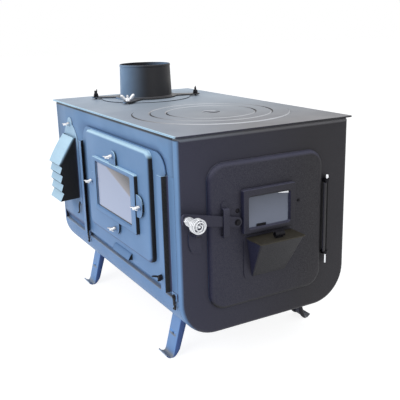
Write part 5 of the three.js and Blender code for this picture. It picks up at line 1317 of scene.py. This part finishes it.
class STOVE_OT_side_panel(bpy.types.Operator):
    """Builds the lift-off window panel, its window, clamps, wing nuts and rails"""

    bl_idname = "stove.side_panel"
    bl_label = "Build side panel"

    def execute(self, context):
        s = in_mm(context.scene.stove_sizes)
        sides = (-170.5, 170.5, 220, 448)
        margin = ((-221.5, 221.5, 183, 450), (3.0, 38.0))
        middle, width, height, thickness = (2.5, 333.5), 191, 101, 4
        glass = around(middle, width, height)
        hole = (around(middle, width + 2, height + 2), 4.0)
        panel = pressed_pan(sides, (16, 16), 2.6, 17, s.pan_radius, s.sheet, margin=margin, hole=hole)
        make_piece("panel_skin", "window_panel", "side_paint", "paint", on_left, [panel],
                   replaces=["side_panel"], sharp=30)
        self.pull()
        frame_rings = window_rings(around((5.5, 332.5), 233, 125), glass, PANEL_FACE, 8.0, 3.0, 3.2)
        lugs = []
        for x, z, turn, long in CLAMPS.values():
            half = long / 2 - 4
            points, faces = slab(rectangle(-half, half, -18, -10), PANEL_FACE, PANEL_FACE + 3)
            lugs.append((at(upright, x, z, 0, turn)(points), faces))
        make_piece("side_window_skin", "window_panel", "side_paint", "paint", on_left,
                   [grid(frame_rings, wrap_rows=True), *lugs], replaces=["side_window_frame"], sharp=40)
        pane = corner_ring(*glass, (3, 3), -8, 0)[:, :2]
        make_piece("side_pane", "window_panel", "side_pane", "side_pane", on_left,
                   [slab(pane, PANEL_FACE + GAP, PANEL_FACE + GAP + thickness)], replaces=["side_glass"],
                   bevel=0.4)
        foot, shoulder, crown, seat = -16.5, -9.5, 12, PANEL_FACE + 3 + GAP
        for name, (x, z, turn, long) in CLAMPS.items():
            half = long / 2
            shape = np.concatenate([
                [(-half, foot), (half, foot)], curve((half, shoulder), (half, crown), (0, crown)),
                curve((0, crown), (-half, crown), (-half, shoulder))[1:]])
            make_piece("clamp_%s_skin" % name, "window_panel", "side_paint", "paint",
                       at(on_left, x, z, seat, turn),
                       [slab(shape, 0, 2, [circle(0, 0, 3.8, 24)[::-1]]),
                        slab(rectangle(-half / 3, half / 3, 6, 9.6), -3.0, 0.5)],
                       replaces=["clamp_" + name], bevel=0.5, sharp=40)
            make_piece("clamp_nut_%s_skin" % name, "clamp_nut_" + name, "zinc", "zinc",
                       at(on_left, x, z, seat + 2 + GAP), wing_nut(s.nut_span),
                       replaces=["clamp_nut_" + name], sharp=40)
            make_piece("clamp_stud_" + name, "window_panel", "zinc", "zinc", at(on_left, x, z),
                       [stud(17, 38)])
        self.rails(s)
        return {"FINISHED"}

    @staticmethod
    def pull():
        """The finger pull: a lip in section, hollow below, carried along the panel's foot and closed at its
        ends."""
        back, low, half, end_width = 4.4, 189.4, 46, 1.6
        line = curve((back, 203), (9, 202), (14.6, low))
        lip = bar(strap(line, -1.8), -half, half)
        cheek = np.concatenate([line, [(back, low)]])
        ends = [bar(cheek, x, x + end_width) for x in (-half, half - end_width)]
        make_piece("finger_pull", "window_panel", "side_paint", "paint", on_left,
                   [stood_across(shell) for shell in (lip, *ends)], sharp=40)

    @staticmethod
    def rails(s):
        """A rail's section: flange on the wall, web out, lip over the panel's edge, with rounded bends."""
        outer, thickness, bend, low, high = 248, 1.9, 2.4, 181, 411
        line = np.concatenate([
            [(outer, GAP)], arc(228.4, GAP + bend, bend, 270, 180, 5), arc(223.6, 16 - bend, bend, 0, 90, 5),
            [(208, 16)]])
        foot = np.array(rectangle(226.5, outer, low - 14, low + 1))
        for name, side in (("front", 1), ("rear", -1)):
            section = strap(line, thickness) * [side, 1]
            make_piece("rail_%s_skin" % name, "stove", "side_paint", "paint", on_left,
                       [stood_along(bar(section, low, high)), slab(foot * [side, 1], GAP, GAP + thickness)],
                       replaces=["rail_" + name], sharp=35)
            hook = np.concatenate([
                arc(0, 0, 5.5, -54, 234, 20), curve((-2.2, -13), (-2.6, -17), (1.4, -18.7), steps=6),
                [(-4, -23.7), (-2.7, -26)], curve((5.6, -25), (7, -20), (4.6, -11), steps=8)])
            make_piece("hook_%s_skin" % name, "hook_" + name, "dark_paint", "black",
                       at(on_left, side * 237.0, 173.5),
                       [slab(hook, 2.6, 5.1), *[(p + [0, 0, 5.0], f) for p, f in screw(3.4, 1.4)]],
                       replaces=["swivel_hook_" + name], bevel=0.4, sharp=40)
        make_piece("lock_screw_skin", "lock_screw", "dark_paint", "black", at(on_left, 213.5, 210, 16.6),
                   [*wing_nut(s.nut_span), turned(rectangle(0, 3, -2, 7), 24)],
                   replaces=["panel_lock_screw"], sharp=40)


# ---------- Louvred hood ----------


class STOVE_OT_hood(bpy.types.Operator):
    """Builds the louvred air hood, its plate, its hook and its wing nut"""

    bl_idname = "stove.hood"
    bl_label = "Build hood"

    def execute(self, context):
        s = in_mm(context.scene.stove_sizes)
        middle = PANEL_MIDDLE - HOOD_MIDDLE
        half, sheet, back, top, bottom = 41.0, 1.5, 2.6, 409, 253
        inner = half - sheet + 0.05
        roof = curve((9, top), (33, 379.5), (51, 343), steps=10)
        tiers = [[(44, root), (50, root - 16.5)] for root in (337 - 22.5 * k for k in range(4))]
        tiers[-1][1] = (54, 250)
        shells = [bar(strap(roof, -sheet), -inner, inner)]
        shells += [self.slat(upper, lower, inner) for upper, lower in tiers]
        cheek = [(back, top), *roof, *[p for tier in tiers for p in tier], (back, bottom)]
        shells += [slab(cheek, x, x + sheet) for x in (-half, half - sheet)]
        make_piece("hood_skin", "stove", "side_paint", "paint", at(on_left, middle),
                   [stood_across(shell) for shell in shells], replaces=["louvred_hood"], bevel=0.35, sharp=30)
        side, foot, shoulder, eye, eye_height = 56, 238, 380, 17, HOOD_STUD_HEIGHT
        plate = np.concatenate([
            [(-side, foot), (side, foot), (side, shoulder)],
            curve((side, shoulder), (52, 421), (eye, eye_height))[1:-1], arc(0, eye_height, eye, 0, 180, 20),
            curve((-eye, eye_height), (-52, 421), (-side, shoulder))[1:]])
        way = corner_ring(-27, 27, 265, 343, (6, 6), 0, 0)[::-1, :2]
        make_piece("hood_plate_skin", "stove", "side_paint", "paint", at(on_left, middle),
                   [slab(plate, GAP, GAP + 2, [circle(0, eye_height, 3.8, 24)[::-1], way])],
                   replaces=["hood_plate"], bevel=0.5)
        line = [(1.3, 241), (3, 236), (4.5, 230), (4.5, 217), (6, 213), (9, 212)]
        make_piece("hood_hook", "stove", "dark_paint", "black", at(on_left, middle),
                   [stood_across(bar(strap(line, 1.8), 33, 40))], sharp=40)
        make_piece("hood_nut_skin", "hood_nut", "zinc", "zinc", at(on_left, middle, eye_height, 2 + 2 * GAP),
                   wing_nut(s.nut_span), replaces=["hood_wing_nut"], sharp=40)
        return {"FINISHED"}

    @staticmethod
    def slat(upper, lower, half, sheet=1.5):
        """One slat of the hood: a thin plate from an upper to a lower line, as wide as the hood."""
        a, b = np.array(upper, float), np.array(lower, float)
        along = (b - a) / np.linalg.norm(b - a)
        inward = np.array([along[1], -along[0]]) * sheet
        section = np.array([a, b, b + inward, a + inward])
        return bar(section, -half, half)


# ---------- Inside ----------


class STOVE_OT_inside(bpy.types.Operator):
    """Finishes the grate and the baffle inside the firebox"""

    bl_idname = "stove.inside"
    bl_label = "Finish inside"

    def execute(self, context):
        for name in ("grate", "baffle"):
            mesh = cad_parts[name].data
            mesh.materials.clear()
            mesh.materials.append(FINISHES["iron"])
        return {"FINISHED"}


# ---------- Studio ----------


def seen_directly(nodes):
    """One where a ray comes from the camera, a reflection or a pane, and nothing where it only lights."""
    camera = nodes.node("ShaderNodeLightPath", output="Is Camera Ray")
    rays = camera.socket.node.outputs
    glossy, through = (Shade(nodes, rays["Is %s Ray" % kind]) for kind in ("Glossy", "Transmission"))
    return camera.at_least(glossy).at_least(through)


class STOVE_OT_studio(bpy.types.Operator):
    """Sets the floor, the lamps, the pale world and the camera"""

    bl_idname = "stove.studio"
    bl_label = "Set studio"

    def execute(self, context):
        self.floor(context.scene.stove_colours)
        self.world(context)
        self.lamps()
        self.camera(context)
        context.scene.view_settings.view_transform = "Standard"
        return {"FINISHED"}

    @staticmethod
    def floor(colours):
        """A wide floor of one grid, pale, that shows as white to the camera away from the shadow."""
        line = np.linspace(-12, 12, 9)
        x, y = np.meshgrid(line, line, indexing="ij")
        points, faces = grid(np.stack([x, y, np.zeros_like(x)], -1), wrap_columns=False, caps=False)
        mesh = bpy.data.meshes.new("floor")
        mesh.from_pydata(points.tolist(), [], faces)
        floor = bpy.data.objects.new("floor", mesh)
        bpy.context.scene.collection.objects.link(floor)
        paper = Finish("floor_paper", Roughness=0.9, Specular_IOR_Level=0.0)
        fibre = paper.noise(40.0, 3.0)
        mottling = paper.ramp(fibre, 0.3, 0.7, 0.0, 0.02)
        paper.set("Base Color", paper.blend(mottling, colours.floor, (0.8, 0.8, 0.8)))
        matt = paper.node("ShaderNodeBsdfDiffuse", inputs={"Color": (0.4, 0.4, 0.4, 1)})
        glow = paper.node("ShaderNodeEmission", inputs={"Color": (1, 1, 1, 1), "Strength": 0.86})
        white = paper.node("ShaderNodeAddShader", inputs={0: matt, 1: glow})
        own = Shade(paper, paper.shader.outputs[0])
        mixed = paper.node("ShaderNodeMixShader", inputs={0: seen_directly(paper), 1: own, 2: white})
        paper.link(mixed, paper.tree.nodes["Material Output"].inputs["Surface"])
        mesh.materials.append(paper.material)

    @staticmethod
    def world(context):
        """The world lights softly and bluish, and shows as white."""
        world = bpy.data.worlds.new("studio")
        world.use_nodes = True
        context.scene.world = world
        world.node_tree.nodes.clear()
        sky = Nodes(world.node_tree)
        soft = sky.node("ShaderNodeBackground", inputs={"Color": (0.93, 0.96, 1.0, 1), "Strength": 0.55})
        white = sky.node("ShaderNodeBackground", inputs={"Color": (1, 1, 1, 1), "Strength": 1.0})
        mixed = sky.node("ShaderNodeMixShader", inputs={0: seen_directly(sky), 1: soft, 2: white})
        sky.link(mixed, sky.tree.nodes.new("ShaderNodeOutputWorld").inputs["Surface"])

    @staticmethod
    def lamps():
        for name, place, size, power in (
                ("left_softbox", (-2.2, -0.6, 1.6), 1.8, 22.0),
                ("front_softbox", (0.6, -2.6, 1.4), 1.6, 12.0),
                ("top_softbox", (0.2, 0.2, 2.6), 2.0, 14.0)):
            lamp = bpy.data.lights.new(name, "AREA")
            lamp.energy = power
            lamp.size = size
            holder = bpy.data.objects.new(name, lamp)
            aim = Vector((0.0, 0.0, 0.3)) - Vector(place)
            turn = aim.to_track_quat("-Z", "Y").to_matrix().to_4x4()
            holder.matrix_world = Matrix.Translation(place) @ turn
            bpy.context.scene.collection.objects.link(holder)

    @staticmethod
    def camera(context):
        """The camera looks along a line set by its turn and its height angle, rolled a little."""
        turn, rise, roll = (math.radians(a) for a in (-29.03, 15.7042, 1.5249))
        eye = (np.array([-715.8, -1011.5, 691.0]) * MM + ORIGIN).tolist()
        back = Vector((math.sin(turn) * math.cos(rise), -math.cos(turn) * math.cos(rise), math.sin(rise)))
        right = (-back).cross(Vector((0, 0, 1))).normalized()
        down = (-back).cross(right)
        across = right * math.cos(roll) + down * math.sin(roll)
        fall = down * math.cos(roll) - right * math.sin(roll)
        lens = bpy.data.cameras.new("view")
        lens.lens = 58.58
        lens.sensor_width = 36
        lens.sensor_fit = "HORIZONTAL"
        lens.clip_end = 60
        camera = bpy.data.objects.new("view", lens)
        rows = Matrix((across, -fall, back)).transposed().to_4x4()
        camera.matrix_world = Matrix.Translation(eye) @ rows
        context.scene.collection.objects.link(camera)
        context.scene.camera = camera


# ---------- Panel and registration ----------

STEPS = (
    STOVE_OT_finishes, STOVE_OT_shell, STOVE_OT_cooking_rings, STOVE_OT_flue, STOVE_OT_legs, STOVE_OT_door,
    STOVE_OT_latch, STOVE_OT_air_box, STOVE_OT_side_panel, STOVE_OT_hood, STOVE_OT_inside, STOVE_OT_studio,
)


class STOVE_PT_panel(bpy.types.Panel):
    """Lists the sizes, the colours and the steps"""

    bl_label = "Tent wood stove"
    bl_idname = "STOVE_PT_panel"
    bl_space_type = "VIEW_3D"
    bl_region_type = "UI"
    bl_category = "Stove"

    def draw(self, context):
        for group in (context.scene.stove_sizes, context.scene.stove_colours):
            column = self.layout.column(align=True)
            for name in group.__annotations__:
                column.prop(group, name)
        for step in STEPS:
            self.layout.operator(step.bl_idname)


CLASSES = (StoveSizes, StoveColours, *STEPS, STOVE_PT_panel)


def register():
    for cls in CLASSES:
        bpy.utils.register_class(cls)
    bpy.types.Scene.stove_sizes = PointerProperty(type=StoveSizes)
    bpy.types.Scene.stove_colours = PointerProperty(type=StoveColours)


def unregister():
    del bpy.types.Scene.stove_colours
    del bpy.types.Scene.stove_sizes
    for cls in reversed(CLASSES):
        bpy.utils.unregister_class(cls)


def main():
    register()
    for step in STEPS:
        group, name = step.bl_idname.split(".")
        getattr(getattr(bpy.ops, group), name)()


if __name__ == "__main__":
    main()
